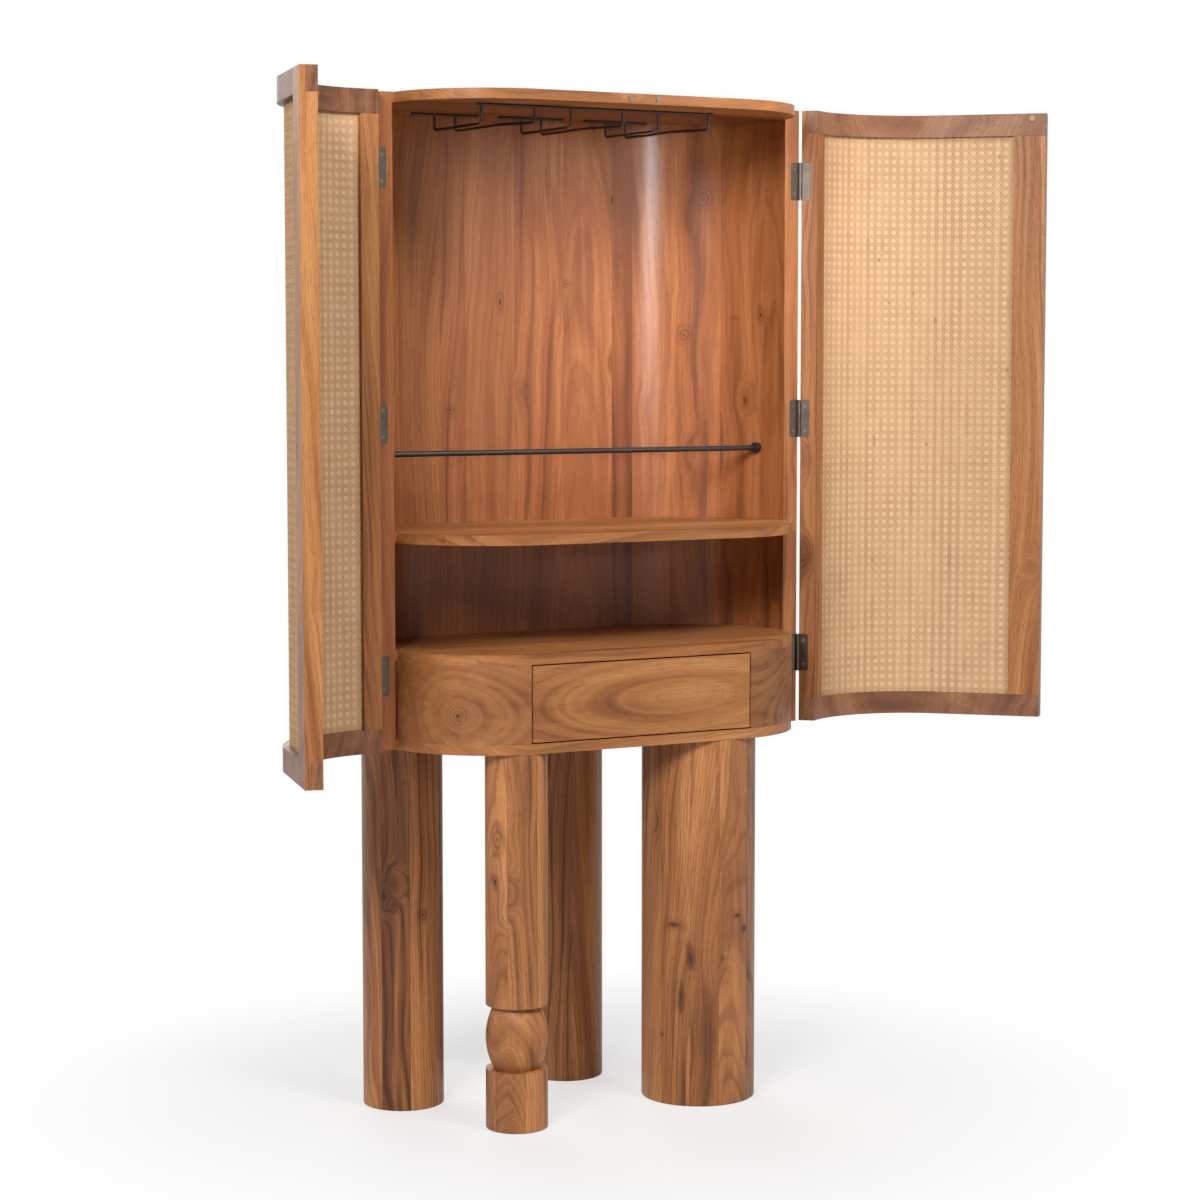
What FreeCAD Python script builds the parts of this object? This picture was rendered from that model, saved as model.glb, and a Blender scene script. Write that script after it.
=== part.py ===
"""Bar armoire: a stadium-plan cabinet on four mismatched round legs.

Millimetres. The origin is on the floor under the middle of the cabinet's plan.
+X is the right side seen from the front, +Y the back and +Z up. The doors are
modelled closed and then swung open to the angles at which the piece stands.
"""
import math
import os

import FreeCAD, Part

from FreeCAD import Vector

# Cabinet
TOTAL_HEIGHT = 1830.0
CABINET_HEIGHT = 1154.0
WIDTH = 876.0
DEPTH = 464.0
HINGE_FORWARD = 25.0
WALL = 30.0
BOARD = 18.0
DRAWER_SPACE = 140.0
LOWER_BAY = 191.0
SEAT_GAP = 0.2

# Doors
DOOR_GAP = 4.0
DOOR_LIFT = 1.0
SEAM = 3.0
MEETING_GAP = 3.0
RAIL_HEIGHT = 42.0
HINGE_STILE = 40.0
MEETING_STILE = 60.0
STILE_LAP = 10.0
TONGUE_FIT = 0.1
OUTER_RECESS = 11.0
INNER_RECESS = 6.0
CANE = 2.0
PANEL_GROOVE = 6.0
PANEL_FIT = 0.3
LEFT_OPEN = 104.0
RIGHT_OPEN = 135.0

# Hinges
LEAF_HEIGHT = 70.0
LEAF_WIDTH = 17.0
LEAF = 2.5
LEAF_ROUND = 4.0
LEAF_FIT = 0.2
KNUCKLE_RADIUS = 4.0
PIN_RADIUS = 2.0
PIN_OUT = 2.5
PIN_FIT = 0.05
KNUCKLE_FIT = 0.4
HINGE_INSET = 132.0
SCREW_SPREAD = 46.0
SCREW_HEAD_RADIUS = 3.2
SCREW_RADIUS = 1.6
SCREW_LENGTH = 22.0
SCREW_FIT = 0.1

# Drawer
DRAWER_OVERHANG = 40.0
REVEAL = 2.5
CHEEK = 18.0
RUNNER_WIDTH = 6.5
RUNNER_HEIGHT = 15.0
RUNNER_FRONT = 16.0
RUNNER_REAR_ROOM = 45.8
RUNNER_FIT = 0.5
DRAWER_SIDE = 14.0
DRAWER_SIDE_GAP = 1.0
DRAWER_BOX_HEIGHT = 110.0
DRAWER_REAR_ROOM = 51.8
DRAWER_BACK = 12.0
DRAWER_BASE = 6.0
DRAWER_BASE_LIFT = 8.0
DRAWER_GROOVE = 5.0

# Touch catches on the top board and their strikes on the doors
CATCH_OFFSET = 27.0
CATCH_SLEEVE_RADIUS = 6.0
CATCH_SLEEVE_LENGTH = 40.0
CATCH_COLLAR = 0.8
PLUNGER_RADIUS = 4.0
PLUNGER_LENGTH = 30.0
PLUNGER_FIT = 0.1
PLUNGER_TRAVEL = 3.0
STRIKE_RADIUS = 6.0
STRIKE = 1.0
STRIKE_CLEARANCE = 0.5

# Guard rod above the shelf
ROD_RADIUS = 5.0
ROD_ABOVE_SHELF = 135.0
ROD_SETBACK = 58.0
BOSS_RADIUS = 10.0
BOSS_LENGTH = 9.0

# Stemware rack under the top board
WIRE_RADIUS = 2.5
WIRE_FIT = 0.05
RACK_OFFSET = -35.0
RACK_FROM_FRONT = 108.0
RACK_FROM_BACK = 41.8
RACK_DROP = 28.0
BAY_COUNT = 3
BAY_MARGIN = 40.0
BAY_MOUTH = 106.0
BAY_SLOT = 42.0
BAY_LEAD_IN = 70.0
REAR_BAR_LENGTH = 135.0
FRONT_BAR_OVERHANG = 8.0
WIRE_BEND = 8.0
LEAD_IN_BEND = 24.0

# Legs
LEFT_LEG_RADIUS = 74.0
LEFT_LEG_FROM_END = 110.0
LEFT_LEG_FROM_BACK = 114.0
RIGHT_LEG_RADIUS = 105.0
RIGHT_LEG_FROM_END = 260.0
RIGHT_LEG_FROM_FRONT = 139.0
BACK_LEG_RADIUS = 71.0
BACK_LEG_OFFSET = 36.0
BACK_LEG_FROM_BACK = 69.0
FRONT_LEG_RADIUS = 55.5
FRONT_LEG_FROM_END = 210.0
FRONT_LEG_FROM_FRONT = 91.0
FOOT_HEIGHT = 108.0
BALL_HEIGHT = 114.0
BALL_NECK_RADIUS = 41.0
LEG_ROUND = 3.0
LEG_DOWEL_RADIUS = 15.0
LEG_DOWEL_DEPTH = 50.0
DOWEL_FIT = 0.1
BOLT_RADIUS = 5.0
BOLT_HEAD_RADIUS = 11.0
BOLT_HEAD = 4.0
BOLT_DEPTH = 60.0
BOLT_FIT = 0.2

# Places worked out from the sizes above
END_RADIUS = DEPTH / 2
HALF_FLAT = WIDTH / 2 - END_RADIUS
INNER_RADIUS = END_RADIUS - WALL
BOARD_BACK = INNER_RADIUS - SEAT_GAP
BOARD_FRONT = INNER_RADIUS - DOOR_GAP
BASE = TOTAL_HEIGHT - CABINET_HEIGHT
BOTTOM_TOP = BASE + BOARD
DECK_BASE = BOTTOM_TOP + DRAWER_SPACE
SHELF_HEIGHT = DECK_BASE + BOARD + LOWER_BAY
TOP_BASE = TOTAL_HEIGHT - BOARD
DOOR_BASE = BASE + DOOR_LIFT
DOOR_OPEN_BASE = DOOR_BASE + RAIL_HEIGHT
DOOR_OPEN_TOP = TOTAL_HEIGHT - RAIL_HEIGHT
DOOR_END = -MEETING_GAP / 2
MIDDLE_RADIUS = END_RADIUS - WALL / 2
SEAM_TURN = math.degrees(math.asin(HINGE_FORWARD / MIDDLE_RADIUS))
STILE_TURN = SEAM_TURN + math.degrees(HINGE_STILE / MIDDLE_RADIUS)
CANE_OUTSIDE = END_RADIUS - OUTER_RECESS
CANE_INSIDE = INNER_RADIUS + INNER_RECESS
CORE_OUTSIDE = CANE_OUTSIDE - CANE
CORE_INSIDE = CANE_INSIDE + CANE
EDGE_X = -(HALF_FLAT + math.sqrt(END_RADIUS**2 - HINGE_FORWARD**2))
SEAM_Y = -HINGE_FORWARD
PIN_X = EDGE_X - PIN_OUT
LEFT_LEG = (LEFT_LEG_FROM_END - WIDTH / 2, END_RADIUS - LEFT_LEG_FROM_BACK)
RIGHT_LEG = (WIDTH / 2 - RIGHT_LEG_FROM_END, RIGHT_LEG_FROM_FRONT - END_RADIUS)
BACK_LEG = (BACK_LEG_OFFSET, END_RADIUS - BACK_LEG_FROM_BACK)
FRONT_LEG = (FRONT_LEG_FROM_END - WIDTH / 2, FRONT_LEG_FROM_FRONT - END_RADIUS)
RACK_FRONT = RACK_FROM_FRONT - BOARD_FRONT
RACK_BACK = BOARD_BACK - RACK_FROM_BACK
BAY_PITCH = WIDTH / 4 - BAY_MARGIN
DRAWER_OPENING = 2 * HALF_FLAT + DRAWER_OVERHANG
DRAWER_FACE = BOARD - BOARD_FRONT
DRAWER_BOX_LENGTH = BOARD_BACK - DRAWER_FACE - DRAWER_REAR_ROOM
RUNNER_START = DRAWER_FACE + RUNNER_FRONT
RUNNER_LENGTH = BOARD_BACK - RUNNER_START - RUNNER_REAR_ROOM
HINGE_HEIGHTS = (
    BASE + HINGE_INSET,
    BASE + CABINET_HEIGHT / 2,
    TOTAL_HEIGHT - HINGE_INSET,
)
UP = Vector(0, 0, 1)
FORWARD = Vector(0, -1, 0)
BACKWARD = Vector(0, 1, 0)
RIGHTWARD = Vector(1, 0, 0)
NODES = {}


def save(name, *shapes):
    """Keep the solids of one named piece for export."""
    solids = [solid for shape in shapes for solid in shape.Solids]
    NODES[name] = solids[0] if len(solids) == 1 else Part.makeCompound(solids)


def box(x0, x1, y0, y1, z0, z1):
    """A box between two corners."""
    return Part.makeBox(x1 - x0, y1 - y0, z1 - z0, Vector(x0, y0, z0))


def mirrored(shape):
    """The same piece on the right-hand side."""
    return shape.mirror(Vector(0, 0, 0), RIGHTWARD)


def end_point(radius, turn, z=0.0):
    """A point on the left end's circle; turn 0 is its side, 90 its front and -90 its back."""
    angle = math.radians(turn)
    return Vector(-HALF_FLAT - radius * math.cos(angle), -radius * math.sin(angle), z)


def end_arc(radius, start, end):
    """An arc of the left end's circle."""
    middle = end_point(radius, (start + end) / 2)
    return Part.Arc(end_point(radius, start), middle, end_point(radius, end)).toShape()


def upright(edges, z0, z1):
    """A plan outline drawn up from z0 to z1."""
    face = Part.Face(Part.Wire(Part.__sortEdges__(edges)))
    face.translate(Vector(0, 0, z0))
    return face.extrude(Vector(0, 0, z1 - z0))


def line(a, b):
    """A straight edge."""
    return Part.LineSegment(a, b).toShape()


def end_wall(inside, outside, start, end, z0, z1):
    """A curved wall about the left end's axis."""
    edges = [
        end_arc(outside, start, end),
        line(end_point(outside, end), end_point(inside, end)),
        end_arc(inside, start, end),
        line(end_point(inside, start), end_point(outside, start)),
    ]
    return upright(edges, z0, z1)


def door_wall(inside, outside, start, end_x, z0, z1):
    """A wall that follows the door's plan from a turn of the end round to end_x on the flat front."""
    edges = [
        end_arc(outside, start, 90),
        line(end_point(outside, 90), Vector(end_x, -outside, 0)),
        line(Vector(end_x, -outside, 0), Vector(end_x, -inside, 0)),
        line(Vector(end_x, -inside, 0), end_point(inside, 90)),
        end_arc(inside, start, 90),
        line(end_point(inside, start), end_point(outside, start)),
    ]
    return upright(edges, z0, z1)


def stadium(radius, z0, z1):
    """An upright solid of the cabinet's plan at one end radius."""
    right_front = Vector(HALF_FLAT, -radius, 0)
    right_back = Vector(HALF_FLAT, radius, 0)
    right_side = Vector(HALF_FLAT + radius, 0, 0)
    edges = [
        Part.Arc(end_point(radius, 90), end_point(radius, 0), end_point(radius, -90)).toShape(),
        line(end_point(radius, -90), right_back),
        Part.Arc(right_back, right_side, right_front).toShape(),
        line(right_front, end_point(radius, 90)),
    ]
    return upright(edges, z0, z1)


def stepped(front, back, step_y, z0, z1):
    """A solid of the plan that is fuller behind step_y than in front of it."""
    behind = stadium(back, z0, z1).cut(box(-WIDTH, WIDTH, -DEPTH, step_y, z0, z1))
    return stadium(front, z0, z1).fuse(behind).removeSplitter()


def board(z0, z1):
    """A board seated in the shell, and short of the closed doors in front of the hinges."""
    return stepped(BOARD_FRONT, BOARD_BACK, SEAM_Y + SEAM / 2, z0, z1)


def rod(start, end, radius):
    """A round bar between two points."""
    along = end.sub(start)
    return Part.makeCylinder(radius, along.Length, start, along)


def countersunk(head, along, grow=0.0):
    """A countersunk screw, or with grow its hole."""
    cone = Part.makeCone(SCREW_HEAD_RADIUS + grow, SCREW_RADIUS + grow, LEAF, head, along)
    shank = Part.makeCylinder(SCREW_RADIUS + grow, SCREW_LENGTH + grow, head, along)
    return cone.fuse(shank).removeSplitter()


def bent_wire(points, bends, radius):
    """A round wire along straight runs joined by tangent arcs."""
    edges = []
    start = points[0]
    for before, corner, after, bend in zip(points, points[1:], points[2:], bends):
        towards = before.sub(corner).normalize()
        away = after.sub(corner).normalize()
        half = towards.getAngle(away) / 2
        reach = bend / math.tan(half)
        inward = towards.add(away).normalize()
        first = corner.add(towards.multiply(reach))
        last = corner.add(away.multiply(reach))
        middle = corner.add(inward.multiply(bend / math.sin(half) - bend))
        edges.append(line(start, first))
        edges.append(Part.Arc(first, middle, last).toShape())
        start = last
    edges.append(line(start, points[-1]))
    along = points[1].sub(points[0])
    section = Part.Wire(Part.makeCircle(radius, points[0], along))
    return Part.Wire(edges).makePipeShell([section], True, False)


# Hinge parts on the left side, closed

def leaf_plate(z, side, grow=0.0):
    """A hinge leaf's flat, or with grow its recess; side 1 is on the cabinet and -1 on the door."""
    near = SEAM_Y + side * SEAM / 2
    far = near + side * LEAF
    inner = EDGE_X + LEAF_WIDTH + grow
    low = z - LEAF_HEIGHT / 2 - grow
    high = z + LEAF_HEIGHT / 2 + grow
    plate = box(PIN_X, inner, min(near, far), max(near, far), low, high)
    across = [e for e in plate.Edges if e.Length < 2 * LEAF]
    corners = [e for e in across if e.CenterOfMass.x > EDGE_X]
    return plate.makeFillet(LEAF_ROUND, corners)


def knuckle_column(z, low_share, high_share, radius, grow=0.0):
    """A stretch of the hinge's barrel, given as shares of the leaf's height."""
    base = z - LEAF_HEIGHT / 2 + low_share * LEAF_HEIGHT - grow
    height = (high_share - low_share) * LEAF_HEIGHT + 2 * grow
    return Part.makeCylinder(radius, height, Vector(PIN_X, SEAM_Y, base), UP)


def hinge(z):
    """The cabinet leaf, the door leaf, the pin and both leaves' screws of one hinge."""
    gap = KNUCKLE_FIT / 2
    bore = knuckle_column(z, 0, 1, PIN_RADIUS + PIN_FIT, KNUCKLE_FIT)
    room = KNUCKLE_RADIUS + KNUCKLE_FIT
    middle = knuckle_column(z, 1 / 3, 2 / 3, KNUCKLE_RADIUS, -gap)
    low = knuckle_column(z, 0, 1 / 3, KNUCKLE_RADIUS)
    high = knuckle_column(z, 2 / 3, 1, KNUCKLE_RADIUS)
    cabinet_leaf = leaf_plate(z, 1).cut(knuckle_column(z, 1 / 3, 2 / 3, room))
    cabinet_leaf = cabinet_leaf.fuse([low, high]).cut(bore)
    outer_room = [knuckle_column(z, 0, 1 / 3, room), knuckle_column(z, 2 / 3, 1, room)]
    door_leaf = leaf_plate(z, -1).cut(outer_room).fuse(middle).cut(bore)
    pin = knuckle_column(z, 0, 1, PIN_RADIUS)
    cabinet_screws = []
    door_screws = []
    for height in (z - SCREW_SPREAD / 2, z + SCREW_SPREAD / 2):
        x = EDGE_X + LEAF_WIDTH / 2
        cabinet_screws.append((Vector(x, SEAM_Y + SEAM / 2, height), BACKWARD))
        door_screws.append((Vector(x, SEAM_Y - SEAM / 2, height), FORWARD))
    for head, along in cabinet_screws:
        cabinet_leaf = cabinet_leaf.cut(countersunk(head, along, SCREW_FIT))
    for head, along in door_screws:
        door_leaf = door_leaf.cut(countersunk(head, along, SCREW_FIT))
    return cabinet_leaf, door_leaf, pin, cabinet_screws, door_screws


def hinge_recess(z, side):
    """What a hinge takes out of the wood on one side of the seam."""
    barrel = knuckle_column(z, 0, 1, KNUCKLE_RADIUS + KNUCKLE_FIT, KNUCKLE_FIT)
    tool = leaf_plate(z, side, LEAF_FIT).fuse(barrel)
    for height in (z - SCREW_SPREAD / 2, z + SCREW_SPREAD / 2):
        head = Vector(EDGE_X + LEAF_WIDTH / 2, SEAM_Y + side * SEAM / 2, height)
        tool = tool.fuse(countersunk(head, BACKWARD if side > 0 else FORWARD, SCREW_FIT))
    return tool


HINGES = [hinge(z) for z in HINGE_HEIGHTS]


def on_door(shape, side):
    """Put a closed left-door piece on its own side and swing it to its open angle."""
    placed = shape.copy() if side == "left" else mirrored(shape)
    pin_x = PIN_X if side == "left" else -PIN_X
    placed.rotate(Vector(pin_x, SEAM_Y, 0), UP, -LEFT_OPEN if side == "left" else RIGHT_OPEN)
    return placed


def on_side(shape, side):
    """Put a left-hand cabinet piece on its own side."""
    return shape if side == "left" else mirrored(shape)


def build_shell():
    """The flat back and the two quarter-round sides, with the hinges let into their front edges."""
    save("back_panel", box(-HALF_FLAT, HALF_FLAT, INNER_RADIUS, END_RADIUS, BASE, TOTAL_HEIGHT))
    shell = end_wall(INNER_RADIUS, END_RADIUS, -90, STILE_TURN, BASE, TOTAL_HEIGHT)
    shell = shell.cut(box(-WIDTH, 0, -WIDTH, SEAM_Y + SEAM / 2, 0, TOTAL_HEIGHT + BOARD))
    for z in HINGE_HEIGHTS:
        shell = shell.cut(hinge_recess(z, 1))
    for side in ("left", "right"):
        save(side + "_side_shell", on_side(shell, side))
        save(side + "_hinge_cabinet_leaves", *[on_side(h[0], side) for h in HINGES])
        save(side + "_hinge_pins", *[on_side(h[2], side) for h in HINGES])
        screws = [on_side(countersunk(*place), side) for h in HINGES for place in h[3]]
        save(side + "_hinge_cabinet_screws", *screws)


def leg_bolt(x, y, grow=0.0):
    """A bolt down through the bottom board into a leg, or with grow its hole."""
    top = Vector(x, y, BOTTOM_TOP - BOLT_HEAD - grow)
    head = Part.makeCylinder(BOLT_HEAD_RADIUS + grow, BOLT_HEAD + grow, top, UP)
    low = BASE - BOLT_DEPTH - grow
    shank = Part.makeCylinder(BOLT_RADIUS + grow, top.z - low, Vector(x, y, low), UP)
    return head.fuse(shank).removeSplitter()


def build_boards():
    """The bottom, the drawer deck, the shelf and the top, and the bolts that hold the legs."""
    legs = (LEFT_LEG, RIGHT_LEG, BACK_LEG, FRONT_LEG)
    bottom = board(BASE, BOTTOM_TOP)
    for x, y in legs:
        bottom = bottom.cut(leg_bolt(x, y, BOLT_FIT))
    save("bottom_panel", bottom)
    save("leg_bolts", *[leg_bolt(x, y) for x, y in legs])
    save("drawer_deck", board(DECK_BASE, DECK_BASE + BOARD))
    save("shelf", board(SHELF_HEIGHT, SHELF_HEIGHT + BOARD))
    top = board(TOP_BASE, TOTAL_HEIGHT)
    for x in (-CATCH_OFFSET, CATCH_OFFSET):
        top = top.cut(catch_sleeve_hole(x))
    save("top_panel", top)


def catch_height():
    """The height of the catches, in the middle of the top board's edge."""
    return TOTAL_HEIGHT - BOARD / 2


def catch_sleeve_hole(x):
    """The blind hole for a catch in the top board's front edge."""
    mouth = Vector(x, -BOARD_FRONT, catch_height())
    length = CATCH_SLEEVE_LENGTH + SEAT_GAP
    return Part.makeCylinder(CATCH_SLEEVE_RADIUS + SEAT_GAP, length, mouth, BACKWARD)


def build_catches():
    """A sprung catch for each door: a sleeve in the top board and the plunger that slides in it."""
    tip = -(INNER_RADIUS - STRIKE - STRIKE_CLEARANCE)
    sleeves = []
    for side, x in (("left", -CATCH_OFFSET), ("right", CATCH_OFFSET)):
        mouth = Vector(x, -BOARD_FRONT - CATCH_COLLAR, catch_height())
        sleeve = Part.makeCylinder(CATCH_SLEEVE_RADIUS, CATCH_COLLAR + CATCH_SLEEVE_LENGTH, mouth, BACKWARD)
        start = Vector(x, tip, catch_height())
        room = PLUNGER_LENGTH + PLUNGER_TRAVEL + PLUNGER_FIT
        bore = Part.makeCylinder(PLUNGER_RADIUS + PLUNGER_FIT, room, start, BACKWARD)
        sleeves.append(sleeve.cut(bore))
        plunger = Part.makeCylinder(PLUNGER_RADIUS, PLUNGER_LENGTH, start, BACKWARD)
        rim = [e for e in plunger.Edges if abs(e.CenterOfMass.y - tip) < PLUNGER_FIT]
        save(side + "_catch_plunger", plunger.makeFillet(STRIKE / 2, rim[:1]))
    save("catch_sleeves", *sleeves)


def build_drawer_case():
    """The curved fascias beside the drawer, the cheeks behind them and the runners."""
    half = DRAWER_OPENING / 2
    ring = stadium(BOARD_FRONT, BOTTOM_TOP, DECK_BASE)
    ring = ring.cut(stadium(BOARD_FRONT - BOARD, BOTTOM_TOP, DECK_BASE))
    fascia = ring.common(box(-WIDTH, -half, -DEPTH, 0, BOTTOM_TOP, DECK_BASE))
    inside = stepped(BOARD_FRONT - BOARD - SEAT_GAP, BOARD_BACK, 0, BOTTOM_TOP, DECK_BASE)
    cheek = inside.common(box(-half - CHEEK, -half, -DEPTH, DEPTH, BOTTOM_TOP, DECK_BASE))
    middle = BOTTOM_TOP + DRAWER_SPACE / 2
    runner = box(
        -half,
        -half + RUNNER_WIDTH,
        RUNNER_START,
        RUNNER_START + RUNNER_LENGTH,
        middle - RUNNER_HEIGHT / 2,
        middle + RUNNER_HEIGHT / 2,
    )
    for side in ("left", "right"):
        save(side + "_fascia", on_side(fascia, side))
        save(side + "_drawer_cheek", on_side(cheek, side))
        save(side + "_drawer_runner", on_side(runner, side))


def build_drawer():
    """The inset drawer: front, two grooved sides, back and base."""
    half = DRAWER_OPENING / 2
    face = stadium(BOARD_FRONT, BOTTOM_TOP + REVEAL, DECK_BASE - REVEAL)
    front = face.common(box(-half + REVEAL, half - REVEAL, -DEPTH, DRAWER_FACE, BASE, TOTAL_HEIGHT))
    middle = BOTTOM_TOP + DRAWER_SPACE / 2
    low = middle - DRAWER_BOX_HEIGHT / 2
    high = middle + DRAWER_BOX_HEIGHT / 2
    base_low = low + DRAWER_BASE_LIFT
    base_high = base_low + DRAWER_BASE
    outer = -half + DRAWER_SIDE_GAP
    inner = outer + DRAWER_SIDE
    end = DRAWER_FACE + DRAWER_BOX_LENGTH
    side_board = box(outer, inner, DRAWER_FACE, end, low, high)
    slot = box(
        outer,
        -half + RUNNER_WIDTH + RUNNER_FIT,
        RUNNER_START - RUNNER_FIT,
        end,
        middle - RUNNER_HEIGHT / 2 - RUNNER_FIT,
        middle + RUNNER_HEIGHT / 2 + RUNNER_FIT,
    )
    groove = box(
        inner - DRAWER_GROOVE - PANEL_FIT,
        inner,
        DRAWER_FACE,
        end,
        base_low - TONGUE_FIT,
        base_high + TONGUE_FIT,
    )
    side_board = side_board.cut([slot, groove])
    base_edge = inner - DRAWER_GROOVE
    save("drawer_front", front)
    save("drawer_left_side", side_board)
    save("drawer_right_side", mirrored(side_board))
    save("drawer_back", box(inner, -inner, end - DRAWER_BACK, end, base_high + TONGUE_FIT, high))
    save("drawer_base", box(base_edge, -base_edge, DRAWER_FACE, end, base_low, base_high))


def build_guard_rod():
    """The round rod across the cabinet above the shelf, and the bosses that hold its ends."""
    height = SHELF_HEIGHT + BOARD + ROD_ABOVE_SHELF
    inside = stadium(BOARD_BACK, BASE, TOTAL_HEIGHT)
    reach = HALF_FLAT + math.sqrt(BOARD_BACK**2 - ROD_SETBACK**2)
    start = Vector(-WIDTH / 2, ROD_SETBACK, height)
    end = Vector(WIDTH / 2, ROD_SETBACK, height)
    save("bottle_rail", rod(start, end, ROD_RADIUS).common(inside))
    bosses = []
    for side in (-1, 1):
        face = Vector(side * (reach - BOSS_LENGTH), ROD_SETBACK, height)
        outer = Vector(side * WIDTH / 2, ROD_SETBACK, height)
        boss = rod(face, outer, BOSS_RADIUS).common(inside)
        bosses.append(boss.cut(rod(face, outer, ROD_RADIUS + SEAT_GAP)))
    save("bottle_rail_bosses", *bosses)


def build_rack():
    """The wire stemware rack: a front bar, a rear bar for each bay and two bent rails in each bay."""
    bar_height = TOP_BASE - WIRE_RADIUS - WIRE_FIT
    wire_end = bar_height - WIRE_RADIUS - WIRE_FIT
    rail_height = bar_height - RACK_DROP
    half_run = (BAY_COUNT - 1) * BAY_PITCH / 2
    reach = half_run + BAY_MOUTH / 2 + FRONT_BAR_OVERHANG
    left_end = Vector(RACK_OFFSET - reach, RACK_FRONT, bar_height)
    right_end = Vector(RACK_OFFSET + reach, RACK_FRONT, bar_height)
    rear_bars = []
    rails = []
    for bay in range(BAY_COUNT):
        middle = RACK_OFFSET + bay * BAY_PITCH - half_run
        rear_left = Vector(middle - REAR_BAR_LENGTH / 2, RACK_BACK, bar_height)
        rear_right = Vector(middle + REAR_BAR_LENGTH / 2, RACK_BACK, bar_height)
        rear_bars.append(rod(rear_left, rear_right, WIRE_RADIUS))
        for side in (-1, 1):
            mouth = middle + side * BAY_MOUTH / 2
            slot = middle + side * BAY_SLOT / 2
            route = [
                Vector(mouth, RACK_FRONT, wire_end),
                Vector(mouth, RACK_FRONT, rail_height),
                Vector(slot, RACK_FRONT + BAY_LEAD_IN, rail_height),
                Vector(slot, RACK_BACK, rail_height),
                Vector(slot, RACK_BACK, wire_end),
            ]
            rails.append(bent_wire(route, (WIRE_BEND, LEAD_IN_BEND, WIRE_BEND), WIRE_RADIUS))
    save("rack_front_bar", rod(left_end, right_end, WIRE_RADIUS))
    save("rack_rear_bars", *rear_bars)
    save("rack_rails", *rails)


def round_leg(x, y, radius, low, high):
    """A plain turned leg or part of one, with its bottom rim eased."""
    post = Part.makeCylinder(radius, high - low, Vector(x, y, low), UP)
    rim = [e for e in post.Edges if len(e.Vertexes) == 1 and e.CenterOfMass.z < low + LEG_ROUND]
    return post.makeFillet(LEG_ROUND, rim)


def turned_ball(x, y, low):
    """The ball of the front leg, cut flat at its two necks."""
    half = BALL_HEIGHT / 2
    profile = Part.Arc(
        Vector(BALL_NECK_RADIUS, 0, 0),
        Vector(FRONT_LEG_RADIUS, 0, half),
        Vector(BALL_NECK_RADIUS, 0, BALL_HEIGHT),
    ).toShape()
    edges = [
        profile,
        line(Vector(BALL_NECK_RADIUS, 0, BALL_HEIGHT), Vector(0, 0, BALL_HEIGHT)),
        line(Vector(0, 0, BALL_HEIGHT), Vector(0, 0, 0)),
        line(Vector(0, 0, 0), Vector(BALL_NECK_RADIUS, 0, 0)),
    ]
    ball = Part.Face(Part.Wire(edges)).revolve(Vector(0, 0, 0), UP, 360)
    ball.translate(Vector(x, y, low))
    return ball


def build_legs():
    """Three plain round legs and the turned front leg of post, ball and foot on one dowel."""
    plain = (
        ("left_leg", LEFT_LEG, LEFT_LEG_RADIUS),
        ("right_leg", RIGHT_LEG, RIGHT_LEG_RADIUS),
        ("back_leg", BACK_LEG, BACK_LEG_RADIUS),
    )
    for name, (x, y), radius in plain:
        save(name, round_leg(x, y, radius, 0, BASE).cut(leg_bolt(x, y, BOLT_FIT)))
    x, y = FRONT_LEG
    ball_top = FOOT_HEIGHT + BALL_HEIGHT
    dowel_low = FOOT_HEIGHT - LEG_DOWEL_DEPTH
    dowel_high = ball_top + LEG_DOWEL_DEPTH
    dowel = Part.makeCylinder(LEG_DOWEL_RADIUS, dowel_high - dowel_low, Vector(x, y, dowel_low), UP)
    hole_low = Vector(x, y, dowel_low - DOWEL_FIT)
    hole_length = dowel_high - dowel_low + 2 * DOWEL_FIT
    hole = Part.makeCylinder(LEG_DOWEL_RADIUS + DOWEL_FIT, hole_length, hole_low, UP)
    post = round_leg(x, y, FRONT_LEG_RADIUS, ball_top, BASE).cut(leg_bolt(x, y, BOLT_FIT))
    save("front_leg_post", post.cut(hole))
    save("front_leg_ball", turned_ball(x, y, FOOT_HEIGHT).cut(hole))
    save("front_leg_foot", round_leg(x, y, FRONT_LEG_RADIUS, 0, FOOT_HEIGHT).cut(hole))
    save("front_leg_dowel", dowel)


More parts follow.
